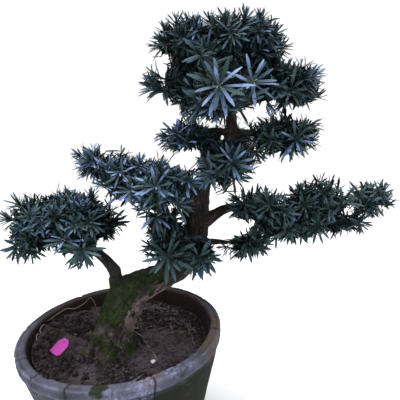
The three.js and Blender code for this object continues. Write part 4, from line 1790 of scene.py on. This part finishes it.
                rows.append(
                    {
                        "root": shoot.tip - shoot.axis * self.stalk * age,
                        "along": along,
                        "face": unit(face - along * (face @ along)),
                        "length": shoot.length * grown,
                        "curl": curl,
                        "tone": tones.index(LeafTone.NEW if newest else shade),
                        "beyond": beyond,
                    }
                )
        return self.fitted({name: np.array([row[name] for row in rows]) for name in rows[0]})

    def fitted(self, leaves: Leaves) -> Leaves:
        """Shortens leaves to the foliage's reach, and drops those still outside, near a limb or in a gap.

        Args:
            leaves: The leaves' values by name.

        Returns:
            The values of those that fit.
        """
        keep = np.zeros(len(leaves["root"]), bool)
        length = leaves["length"].copy()
        for share in self.trial_lengths:
            tip = leaves["root"] + leaves["along"] * (leaves["length"] * share)[:, None]
            fits = ~keep & (self.beyond(tip) < leaves["beyond"])
            length[fits] = leaves["length"][fits] * share
            keep |= fits
        for share in self.trial_places:
            place = leaves["root"] + leaves["along"] * (length * share)[:, None]
            keep &= self.clear_of_limbs(place) & ~self.open_sky(place)
        leaves["length"] = length
        return {name: values[keep] for name, values in leaves.items()}

    def leaf_piece(self, tier: Tier, pattern: Pattern, leaves: Leaves) -> Piece:
        """Shapes and joins the leaves of one tier.

        Args:
            tier: The tier.
            pattern: The leaf that is copied.
            leaves: The leaves' values by name.

        Returns:
            The joined leaves.
        """
        x, y, z = pattern.points.T
        side = np.cross(leaves["face"], leaves["along"])
        length = leaves["length"][:, None]
        across = y * self.leaf_width / 2 * length / self.leaf_length
        bend = leaves["curl"][:, None] * length * x**2
        lift = z * self.leaf_thick - bend
        axes = ((leaves["along"], x * length), (side, across), (leaves["face"], lift))
        copies = framed(leaves["root"], *axes)
        piece = pattern.copied(f"leaves_{tier.name.lower()}", copies, leaves["tone"])
        put_attribute(piece, "blade", np.tile(pattern.points, (len(copies), 1)))
        return piece

    def build(self) -> None:
        """Grows all masses, dresses their twigs and leaves and hands them over."""
        pattern = self.leaf_pattern()
        materials = [tone.value.material() for tone in LeafTone]
        number = 0
        tubes = []
        total = 0
        for tier in Tier:
            random = np.random.default_rng(100 + number)
            shoots = []
            for _ in tier.value:
                own = self.shoots(number, random)
                tubes += self.twigs(number, own)
                shoots += own
                number += 1
            leaves = self.leaf_rows(shoots, random)
            total += len(leaves["root"])
            piece = self.leaf_piece(tier, pattern, leaves)
            names = (pad.name for pad in tier.value)
            hand_over(piece, Slot.FOLIAGE, *names, materials=materials, degrees=40)
        twigs = joined_tubes("twigs", tubes)
        bark = PlainFinish("twig", (0.034, 0.030, 0.024), 0.85).material()
        hand_over(twigs, Slot.FOLIAGE, materials=[bark], degrees=60)
        LOG.info("%d leaves on %d masses", total, number)


# Pot and soil


@dataclass
class Pot:
    """The clay pot: a turned wall with a rim and a band, then chips, cracks and throwing marks.

    Its rim_section runs over the rim from the band, as insets from the rim's edge and drops from its
    top in millimetres.
    """

    height: float = 300 * MM
    rim_radius: float = 225 * MM
    base_radius: float = 150 * MM
    rim_width: float = 25 * MM
    wall: float = 22 * MM
    band_height: float = 26 * MM
    band_step: float = 4 * MM
    floor: float = 24 * MM
    foot_chamfer: float = 5 * MM
    rim_section: tuple[Pair, ...] = (
        (1, 15.6), (2.6, 12.6), (2.4, 10.8), (0.3, 7.8), (0, 5.4), (1.5, 1.8), (4.8, 0), (7.2, 0.6),
        (9, 2.1), (10.8, 0.9), (15.4, 0), (20.2, 1.32), (23.5, 4.2), (25, 9.6),
    )
    sides: int = 480
    ring_step: float = 7 * MM
    drain_radius: float = 13 * MM
    drain_ring: float = 70 * MM
    drain_turns: tuple[float, ...] = (30, 150, 270)
    crack_turns: tuple[float, ...] = (-149.5, -129, -107, -65, -9, 64, 128)
    crack_width: float = 2.8 * MM
    crack_depth: float = 3.4 * MM
    chip_depth: float = 2.6 * MM
    wave_depths: Pair = (0.9 * MM, 0.5 * MM)
    mark_depth: float = 0.35 * MM
    mark_waves: float = 900
    arris_size: Pair = (2.2 * MM, 2.5 * MM)
    finish: ClayFinish = field(default_factory=ClayFinish)

    def profile(self) -> list[Pair]:
        """The pot's section from its foot, over the rim, to its inner floor.

        Returns:
            Points of radius and height.
        """
        rim = self.rim_radius
        band = self.height - self.band_height
        slope = (rim - self.band_step - self.base_radius) / band
        corners = [
            (self.base_radius - self.foot_chamfer, 0),
            (self.base_radius, self.foot_chamfer),
            (rim - self.band_step - 0.5 * MM, band - 2 * MM),
            (rim - self.band_step - 1.6 * MM, band),
            (rim - 1.2 * MM, band + 0.6 * self.band_step),
            (rim - 0.6 * MM, band + self.band_step + 4 * MM),
            *((rim - inset * MM, self.height - drop * MM) for inset, drop in self.rim_section),
            (self.base_radius + slope * self.floor - self.wall, self.floor),
        ]
        found = [corners[0]]
        for before, after in pairwise(corners):
            parts = max(round(math.dist(before, after) / self.ring_step), 1)
            for share in range(1, parts + 1):
                found.append(tuple(b + (a - b) * share / parts for b, a in zip(before, after)))
        return found

    def turned(self) -> Piece:
        """Extrudes the wall ring by ring along its section and bores the drain holes.

        Returns:
            The plain pot.
        """
        profile = self.profile()
        deselect()
        bpy.ops.mesh.primitive_circle_add(vertices=self.sides, radius=profile[0][0], fill_type="NGON")
        pot = bpy.context.object
        pot.name = "clay_pot"
        with editing(pot):
            bpy.ops.mesh.select_all(action="SELECT")
            for (wide, low), (after, high) in pairwise(profile):
                raise_ring(Vector((0, 0, high - low)))
                widen_ring(after / wide, high)
            face_outwards()
        settle(pot)
        for turn in self.drain_turns:
            angle = math.radians(turn)
            place = (self.drain_ring * math.cos(angle), self.drain_ring * math.sin(angle), 0)
            drill(pot, 32, self.drain_radius, 3 * self.floor, place)
        return pot

    def weather(self, pot: Piece) -> None:
        """Wears the clay: uneven wall, throwing marks, a chipped rim and cracks across it.

        Args:
            pot: The plain pot.
        """
        rows = places(pot)
        height = rows[:, 2]
        facing = normals(pot)
        radius = np.hypot(rows[:, 0], rows[:, 1])
        angle = np.arctan2(rows[:, 1], rows[:, 0])
        free = height > 12 * MM
        inner_rim = self.rim_radius - self.rim_width
        # The inner wall's mask, which the clay's finish darkens as painted shade.
        inner = ramp(-radius - 1.5 * MM * noise_at(rows, 30, 6), -inner_rim - 6 * MM, -inner_rim - 2 * MM)
        outward = (facing[:, 0] * rows[:, 0] + facing[:, 1] * rows[:, 1]) / np.maximum(radius, 1 * MM)
        inner *= (height > self.floor) * (1 - ramp(outward, 0.2, 0.5))
        broad, small = self.wave_depths
        wave = broad * noise_at(rows, 14, 1) + small * noise_at(rows, 60, 2)
        marks = self.mark_depth * np.sin(height * self.mark_waves + 3 * noise_at(rows, 8, 3))
        marks *= 1 - ramp(height, self.height - 38 * MM, self.height - 30 * MM)
        edge = ramp(height, self.height - 12 * MM, self.height - 3 * MM)
        chips = ramp(noise_at(rows, (34, 34, 20), 4) + 0.5 * noise_at(rows, 110, 5), 0.34, 0.62)
        chips = chips * edge * self.chip_depth
        crack = np.zeros(len(rows))
        for i, turn in enumerate(self.crack_turns):
            wander = 0.012 * noise_at(rows, 45, 10 + i) + 0.006 * noise_at(rows, 160, 20 + i)
            past = angle - math.radians(turn) + wander
            apart = np.abs((past + math.pi) % (2 * math.pi) - math.pi) * radius
            fade = ramp(height, self.height - 70 * MM, self.height - 30 * MM)
            crack = np.maximum(crack, (1 - ramp(apart, 0, self.crack_width)) * fade)
        out = (wave + marks - chips - self.crack_depth * crack) * free
        moved = rows + facing * out[:, None]
        widest = np.maximum(np.hypot(moved[:, 0], moved[:, 1]), 1 * MM)
        moved[:, :2] *= np.minimum(1.0, self.rim_radius * 1.004 / widest)[:, None]
        put_places(pot, moved)
        # The rim's top outer edge, where the clay's finish paints a pale line that is partly highlight.
        wide, tall = self.arris_size
        arris = (radius > self.rim_radius - wide) * (height > self.height - tall)
        for name, values in {"inner": inner, "arris": 0.6 * arris, "crack": crack}.items():
            put_attribute(pot, name, values)

    def build(self) -> None:
        """Models, wears and dresses the pot, and hands it over."""
        pot = self.turned()
        self.weather(pot)
        hand_over(pot, Slot.CLAY, "pot", materials=[self.finish.material()], degrees=50)


def level_distance(rows: Array, spot: Sequence[float]) -> Array:
    """How far points lie from a spot, measured on the level."""
    return np.hypot(rows[:, 0] - spot[0], rows[:, 1] - spot[1])


@dataclass
class Soil:
    """The soil in the pot, its crumbs, and the litter, rootlets and pebble that lie on it."""

    level: float = 266 * MM
    bottom: float = 24.3 * MM
    edge_gap: float = 0.5 * MM
    wall_ends: tuple[Pair, ...] = ((24 * MM, 134.216 * MM), (294 * MM, 200 * MM))
    wall_clear: float = 3 * MM
    foot_clear: float = 40 * MM
    heap_centre: Pair = (-9 * MM, -60 * MM)
    heap_radius: float = 72 * MM
    heap_slope: float = 75 * MM
    tag_bed: float = 29 * MM
    bed_blend: float = 1.6
    bed_from_foot: float = 84 * MM
    sides: int = 160
    rings: int = 44
    crumb_count: int = 5600
    crumb_size: Pair = (1.2 * MM, 5.0 * MM)
    clod_count: int = 620
    clod_size: Pair = (3.5 * MM, 10.5 * MM)
    litter_count: int = 90
    rootlet_count: int = 130
    lump_heights: Pair = (4.2 * MM, 2.4 * MM)
    calm_round_tag: Pair = (26 * MM, 44 * MM)
    left_rise: float = 17 * MM
    left_slope: Pair = (105 * MM, 175 * MM)
    slope_core: float = 0.8
    slope_share: float = 0.18
    slopes: tuple[Spot, ...] = (
        ((-0.092, -0.010, 0.275), 0.050),
        ((-0.070, -0.052, 0.272), 0.046),
        ((-0.069, 0.034, 0.275), 0.026),
        ((0.091, -0.006, 0.270), 0.060),
        ((0.135, -0.050, 0.268), 0.062),
        ((0.073, -0.096, 0.268), 0.058),
        ((-0.050, -0.140, 0.268), 0.045),
    )
    # Spots where the soil is darkened, mostly at the back: painted shade.
    shade_spots: tuple[Spot, ...] = (
        ((0.064, 0.119, 0.268), 0.100),
        ((0.140, 0.090, 0.268), 0.070),
        ((-0.040, 0.120, 0.268), 0.080),
        ((-0.180, 0.020, 0.280), 0.060),
    )
    mossy: tuple[Spot, ...] = (((0.022, -0.050, 0.275), 0.042), ((-0.012, -0.112, 0.275), 0.030))
    pebble: Point = (82 * MM, -115 * MM, 281 * MM)
    arch: tuple[Knot, ...] = (
        (-188, 62, 291, 0.9), (-165, 84, 299, 1.2), (-148, 90, 306, 1.1), (-126, 86, 307, 1.0),
        (-100, 82, 322, 1.1), (-83, 80, 336, 0.9), (-76, 80, 324, 0.8), (-66, 78, 268, 0.8),
    )
    loop: tuple[Knot, ...] = (
        (-176, 44, 283, 1.3), (-187, 34, 296, 1.5), (-190, 16, 291, 1.6), (-183, 8, 288, 1.5),
        (-189, -6, 294, 1.4), (-184, -22, 280, 1.2),
    )
    stick: tuple[Knot, ...] = (
        (52, -30, 281, 1.6), (62, -46, 278, 2.2), (72, -66, 276, 1.8), (84, -88, 275, 2.0),
        (90, -104, 270, 1.4),
    )

    def wall_radius(self, height: float) -> float:
        """The inner radius of the pot's wall at a height."""
        (low, narrow), (high, wide) = self.wall_ends
        return narrow + (wide - narrow) * (height - low) / (high - low)

    def reach(self) -> float:
        """How far from the pot's middle the loose matter may lie."""
        return self.wall_radius(self.level) - self.wall_clear

    def top(self, rows: Array) -> Array:
        """Height of the soil: gentle bumps, the heap at the trunk's foot and the tag's sloping bed.

        Args:
            rows: Places, of which only X and Y are read.

        Returns:
            The heights, in metres.
        """
        wide = rows[:, 0] / MM
        deep = rows[:, 1] / MM
        bump = np.sin(wide / 31 + 1) * np.cos(deep / 27) + 0.5 * np.sin(wide / 13 - deep / 17)
        from_foot = level_distance(rows, self.heap_centre)
        heap = np.clip(1 - (from_foot - self.heap_radius) / self.heap_slope, 0, 1)
        open_level = self.level + 3 * MM * bump
        most = GROUND - 0.3 * MM
        raised = np.minimum(open_level + (most - open_level) * heap, most)
        tag_x = rows[:, 0] - TAG_SPOT[0]
        tag_y = rows[:, 1] - TAG_SPOT[1]
        uphill = tag_y * math.cos(TAG_TURN) - tag_x * math.sin(TAG_TURN)
        bed = TAG_SPOT[2] + math.tan(TAG_LEAN) * np.clip(uphill, -self.tag_bed, self.tag_bed)
        away = level_distance(rows, TAG_SPOT) / self.tag_bed
        share = np.clip((self.bed_blend - away) / (self.bed_blend - 1), 0, 1)
        most = most + np.maximum(from_foot - self.bed_from_foot, 0)
        return np.minimum(raised + (bed - raised) * share, most)

    def lumps(self, rows: Array) -> Array:
        """Coarse unevenness of the soil's surface and its rise at the left, level under the tag."""
        broad, small = self.lump_heights
        calm = ramp(level_distance(rows, TAG_SPOT), *self.calm_round_tag)
        rise = self.left_rise * ramp(-rows[:, 0], *self.left_slope)
        return (broad * noise_at(rows, 44, 31) + small * noise_at(rows, 120, 32) + rise) * calm

    def surface(self, rows: Array) -> Array:
        """Height of the uneven soil at places, of which only X and Y are read."""
        return self.top(rows) + self.lumps(rows * (1, 1, 0) + (0, 0, self.level))

    def ground(self) -> Piece:
        """Models the soil: a plug that is extruded up from the pot's floor, with a top of many inset rings.

        Returns:
            The soil.
        """
        low = self.wall_radius(self.bottom) - self.edge_gap
        high = self.wall_radius(self.level) - self.edge_gap
        deselect()
        bpy.ops.mesh.primitive_circle_add(
            vertices=self.sides, radius=low, fill_type="NGON", location=(0, 0, self.bottom)
        )
        soil = settle(bpy.context.object)
        soil.name = "soil_bed"
        with editing(soil):
            bpy.ops.mesh.select_all(action="SELECT")
            raise_ring(Vector((0, 0, self.level - self.bottom)))
            widen_ring(high / low, self.level)
            for i in range(self.rings, 1, -1):
                raise_ring(Vector((0, 0, 0)))
                widen_ring((i - 1) / i, self.level)
            face_outwards()
        rows = places(soil)
        on_top = rows[:, 2] > self.level - 1 * MM
        rows[on_top, 2] = self.top(rows[on_top]) + self.lumps(rows[on_top])
        put_places(soil, rows)
        return soil

    def scatter(self, count: int, random: Chance, clear: float = 0.0) -> Array:
        """Places on the soil's surface, clear of the tag and the trunk, and few on the smooth slopes.

        Args:
            count: How many.
            random: The source of chance.
            clear: How far from the wall they stay.

        Returns:
            The places, one row each.
        """
        reach = self.reach() - clear
        slopes = np.array([place[:2] for place, _ in self.slopes])
        slope_reach = np.array([near for _, near in self.slopes])
        found = np.zeros((0, 3))
        while len(found) < count:
            turn = random.uniform(0, 2 * math.pi, count)
            away = reach * np.sqrt(random.uniform(0, 1, count))
            rows = np.stack([away * np.cos(turn), away * np.sin(turn), np.zeros(count)], axis=1)
            apart = lengths(rows[:, None, :2] - slopes[None])
            off_slopes = ~(apart < self.slope_core * slope_reach).any(axis=1)
            kept = off_slopes | (random.uniform(size=count) < self.slope_share)
            kept &= level_distance(rows, TAG_SPOT) > self.tag_bed
            kept &= level_distance(rows, self.heap_centre) > self.foot_clear
            rows = rows[kept]
            rows[:, 2] = self.surface(rows)
            found = np.concatenate([found, rows])
        return found[:count]

    def lump(self, subdivisions: int, offset: float, seed: int) -> Pattern:
        """Models one rough lump of soil, one unit in radius.

        Args:
            subdivisions: How finely its ball is divided.
            offset: How far chance moves its corners.
            seed: The seed of that chance.

        Returns:
            The pattern.
        """
        deselect()
        bpy.ops.mesh.primitive_ico_sphere_add(subdivisions=subdivisions, radius=1)
        ball = bpy.context.object
        with editing(ball):
            bpy.ops.mesh.select_all(action="SELECT")
            bpy.ops.transform.vertex_random(offset=offset, uniform=0.0, normal=0.0, seed=seed)
        return Pattern.taken_from(ball)

    def crumbs(self) -> Piece:
        """Angular crumbs of soil, each a turned and squashed copy of one lump.

        Returns:
            The joined crumbs.
        """
        random = np.random.default_rng(21)
        pattern = self.lump(1, 0.28, 4)
        count = self.crumb_count
        small, large = self.crumb_size
        size = small + (large - small) * random.uniform(0, 1, count) ** 3.2
        turns = random_turns(count, random)
        shape = pattern.points[None] * random.uniform(0.65, 1.0, (count, 1, 3))
        copies = np.einsum("nvj,njk->nvk", shape, turns) * size[:, None, None]
        rows = self.scatter(count, random)
        rows[:, 2] += size * 0.35
        copies += rows[:, None]
        return pattern.copied("soil_crumbs", copies, random.choice(3, count, p=(0.50, 0.33, 0.17)))

    def clods(self) -> Piece:
        """Large rough clods, mostly at the left and back, away from the smooth slopes.

        Returns:
            The joined clods.
        """
        random = np.random.default_rng(24)
        pattern = self.lump(2, 0.3, 9)
        rows = self.scatter(self.clod_count * 3, random, 6 * MM)
        wanted = noise_at(rows, 15, 51) - 9.0 * rows[:, 0] + 2.0 * rows[:, 1]
        rows = rows[np.argsort(-wanted)][: self.clod_count]
        count = len(rows)
        small, large = self.clod_size
        size = small + (large - small) * random.uniform(0, 1, count) ** 2.0
        shape = pattern.points[None] * random.uniform(0.6, 1.0, (count, 1, 3))
        copies = np.einsum("nvj,njk->nvk", shape, random_turns(count, random)) * size[:, None, None]
        rows[:, 2] += size * 0.25
        copies += rows[:, None]
        flat = copies.reshape(-1, 3)
        for axis in range(3):
            copies[..., axis] += (2.0 * MM * noise_at(flat, 300, 52 + axis)).reshape(count, -1)
        return pattern.copied("soil_clods", copies)

    def litter(self, pattern: Pattern) -> Piece:
        """Fallen dry leaves that lie flat on the soil.

        Args:
            pattern: The leaf that is copied.

        Returns:
            The joined leaves.
        """
        random = np.random.default_rng(22)
        count = self.litter_count
        rows = self.scatter(count, random, 18 * MM)
        turn = random.uniform(0, 2 * math.pi, count)
        tilt = random.normal(size=count) * 0.14
        along = unit(np.stack([np.cos(turn), np.sin(turn), tilt], axis=1))
        face = unit(np.cross(np.cross(along, (0, 0, 1)) + random.normal(size=(count, 3)) * 0.3, along))
        side = np.cross(face, along)
        length = random.uniform(12, 42, count)[:, None] * MM
        x, y, z = pattern.points.T
        bend = random.uniform(-0.16, 0.10, (count, 1)) * length * (x - 0.5) ** 2
        across = y * random.uniform(1.2, 2.6, (count, 1)) * MM
        lift = z * 0.8 * MM + bend + 2.2 * MM
        copies = framed(rows, (along, (x - 0.5) * length), (side, across), (face, lift))
        return pattern.copied("fallen_leaves", copies, random.choice(2, count, p=(0.7, 0.3)))

    def rootlets(self) -> Piece:
        """Thin dry roots and stalks on the soil, with the arching root, the looped one and the stick.

        Returns:
            The joined rootlets.
        """
        random = np.random.default_rng(23)
        tubes = []
        starts = self.scatter(self.rootlet_count * 3, random, 22 * MM)
        wanted = noise_at(starts, 12, 53) + 6.0 * starts[:, 1] + 2.0 * starts[:, 0]
        for start in starts[np.argsort(-wanted)][: self.rootlet_count]:
            turn = random.uniform(0, 2 * math.pi)
            length = random.uniform(12, 46) * MM
            share = np.linspace(0, 1, 6)[:, None]
            ahead = np.array([math.cos(turn), math.sin(turn), 0])
            sideways = np.array([-ahead[1], ahead[0], 0])
            sway = np.sin(share * random.uniform(2, 6) + random.uniform(0, 6)) * random.uniform(1, 5) * MM
            line = start + ahead * length * share + sideways * sway
            outside = level_distance(line, (0, 0)).max() >= self.reach()
            if outside or level_distance(line, TAG_SPOT).min() < self.tag_bed:
                continue
            lift = random.uniform(0.5, 5.0) * MM
            line[:, 2] = self.surface(line) + lift
            thick = random.uniform(0.4, 1.0) * MM
            tubes.append(tube(line, np.full(len(line), thick), 4))
        for knots in (self.arch, self.loop, self.stick):
            tubes.append(tube(*Limb("root", knots).curve(5), 6))
        return joined_tubes("rootlets", tubes)

    def pebble_piece(self) -> Piece:
        """A small pale pebble, an uneven rounded lump.

        Returns:
            The pebble.
        """
        deselect()
        bpy.ops.mesh.primitive_ico_sphere_add(subdivisions=3, radius=5 * MM, location=self.pebble)
        pebble = settle(bpy.context.object)
        pebble.name = "pebble"
        rows = places(pebble)
        rows += normals(pebble) * (1.2 * MM * noise_at(rows, 160, 41))[:, None]
        rows[:, 2] = self.pebble[2] + (rows[:, 2] - self.pebble[2]) * 0.8
        put_places(pebble, rows)
        return pebble

    def build(self, leaf: Pattern) -> None:
        """Models and dresses the soil and what lies on it, and hands them over.

        Args:
            leaf: The leaf that the litter copies.
        """
        spots = (self.slopes, self.shade_spots)
        soil = EarthFinish("soil", (0.011, 0.008, 0.009), (0.078, 0.058, 0.066), *spots, self.mossy)
        crumbs = (
            EarthFinish("crumb_dark", (0.011, 0.008, 0.009), (0.040, 0.031, 0.035), *spots),
            EarthFinish("crumb_brown", (0.036, 0.025, 0.026), (0.105, 0.077, 0.084), *spots),
            EarthFinish("crumb_pale", (0.080, 0.068, 0.080), (0.160, 0.140, 0.172)),
        )
        clod = EarthFinish("clod", (0.009, 0.007, 0.0075), (0.088, 0.062, 0.064))
        dry_leaves = (
            PlainFinish("dry_leaf_brown", (0.052, 0.036, 0.029)),
            PlainFinish("dry_leaf_tan", (0.120, 0.096, 0.092)),
        )
        root = PlainFinish("dry_root", (0.165, 0.138, 0.125), 0.85)
        stone = PlainFinish("pale_stone", (0.62, 0.62, 0.60), 0.6, 0.25, 200)
        for piece, nodes, finishes, degrees in (
            (self.ground(), ("soil",), (soil,), 60),
            (self.crumbs(), (), crumbs, 0),
            (self.clods(), (), (clod,), 20),
            (self.litter(leaf), (), dry_leaves, 50),
            (self.rootlets(), (), (root,), 60),
            (self.pebble_piece(), (), (stone,), 60),
        ):
            materials = [finish.material() for finish in finishes]
            hand_over(piece, Slot.EARTH, *nodes, materials=materials, degrees=degrees)


@dataclass
class Tag:
    """The small plain tag that leans on the soil: a bevelled plate with clipped corners and a hole."""

    width: float = 38 * MM
    length: float = 40 * MM
    clip: float = 11 * MM
    thick: float = 1 * MM
    hole: float = 2 * MM
    lift: float = 0.4 * MM
    curl: float = 0.9 * MM

    def build(self) -> None:
        """Models and dresses the tag, and hands it over."""
        deselect()
        bpy.ops.mesh.primitive_grid_add(x_subdivisions=10, y_subdivisions=14, size=1)
        tag = bpy.context.object
        tag.name = "plant_tag"
        tag.scale = (self.width, self.length, 1)
        settle(tag)
        with editing(tag):
            for side in (-1, 1):
                corner = (side * self.width / 2, self.length / 2 - self.clip, 0)
                bpy.ops.mesh.select_all(action="SELECT")
                bpy.ops.mesh.bisect(plane_co=corner, plane_no=(side, 1, 0), clear_outer=True)
        fasten(tag, "SOLIDIFY", thickness=self.thick, offset=1.0)
        drill(tag, 20, self.hole, 20 * MM, (0, self.length / 2 - self.clip * 0.8, 0))
        rows = places(tag)
        rows[:, 2] += self.curl * (rows[:, 1] / (self.length / 2)) ** 2
        put_places(tag, rows)
        tag.rotation_euler = (TAG_LEAN, 0, TAG_TURN)
        tag.location = Vector(TAG_SPOT) + Vector((0, 0, self.lift))
        settle(tag)
        edge = math.radians(60)
        fasten(tag, "BEVEL", width=0.25 * MM, segments=2, limit_method="ANGLE", angle_limit=edge)
        plastic = PlainFinish("pink_plastic", (0.54, 0.050, 0.40), 0.5, 0.12, 60, 0.0001).material()
        hand_over(tag, Slot.TAG, "tag", materials=[plastic], degrees=40)


# Studio


@dataclass(frozen=True)
class Light:
    """One soft square lamp: where it stands, where it points, its side and power."""

    name: str
    place: Point
    target: Point
    side: float
    power: float
    colour: Colour = (1.0, 1.0, 1.0)


@dataclass
class Studio:
    """A pale floor, soft light and the camera, whose place was solved from the pot's rim."""

    eye: Point = EYE
    pitch: float = 13.1587
    roll: float = -3.4483
    focal_pixels: float = 429.0
    image_pixels: float = 400.0
    sensor: float = 36.0
    floor_size: float = 40.0
    sky: float = 1.03
    lights: tuple[Light, ...] = (
        Light("overhead", (0.0, -0.1, 2.2), (0.15, 0.0, 0.6), 1.3, 38, (0.90, 0.95, 1.0)),
        Light("left_front", (-1.8, -1.3, 2.1), (0.1, 0.0, 0.55), 1.0, 12, (0.90, 0.95, 1.0)),
        Light("right_back", (1.9, 1.4, 1.9), (0.2, 0.0, 0.6), 1.2, 7),
    )

    def camera(self) -> None:
        """Stands the camera at the photograph's place and angle."""
        pitch = math.radians(self.pitch)
        roll = math.radians(self.roll)
        ahead = Vector((0, math.cos(pitch), -math.sin(pitch)))
        level = Vector((1, 0, 0))
        upright = level.cross(ahead)
        right = math.cos(roll) * level + math.sin(roll) * upright
        up = -math.sin(roll) * level + math.cos(roll) * upright
        data = bpy.data.cameras.new("camera")
        data.sensor_width = self.sensor
        data.lens = self.focal_pixels / self.image_pixels * self.sensor
        data.clip_start = 0.01
        camera = linked("camera", data)
        turn = np.stack([np.array(right), np.array(up), -np.array(ahead)], axis=1)
        placed = np.eye(4)
        placed[:3, :3] = turn
        placed[:3, 3] = self.eye
        camera.matrix_world = Matrix(placed)
        bpy.context.scene.camera = camera

    def lamps(self) -> None:
        """Sets the soft lamps and the pale sky."""
        for light in self.lights:
            data = bpy.data.lights.new(light.name, "AREA")
            data.size = light.side
            data.energy = light.power
            data.color = light.colour
            lamp = linked(light.name, data)
            lamp.location = light.place
            lamp.rotation_euler = (Vector(light.target) - lamp.location).to_track_quat("-Z", "Y").to_euler()
        world = bpy.data.worlds.new("studio")
        world.use_nodes = True
        background = next(node for node in world.node_tree.nodes if node.type == "BACKGROUND")
        background.inputs["Color"].default_value = (1.0, 1.0, 1.0, 1.0)
        background.inputs["Strength"].default_value = self.sky
        bpy.context.scene.world = world

    def floor(self) -> None:
        """Lays the plain pale floor."""
        deselect()
        bpy.ops.mesh.primitive_plane_add(size=self.floor_size)
        floor = settle(bpy.context.object)
        floor.name = "floor"
        floor.data.materials.append(PlainFinish("pale_floor", (0.98, 0.98, 0.98), 0.9, 0.02, 2).material())

    def build(self) -> None:
        """Sets up the studio."""
        self.camera()
        self.lamps()
        self.floor()
        bpy.context.scene.view_settings.view_transform = "Standard"


def main() -> None:
    """Builds the studio and the dressed bonsai, in order."""
    logging.basicConfig(level=logging.INFO, format="%(name)s: %(message)s")
    Studio().build()
    Pot().build()
    foliage = Foliage()
    Soil().build(foliage.leaf_pattern())
    Tag().build()
    Wood().build()
    foliage.build()


if __name__ == "__main__":
    main()
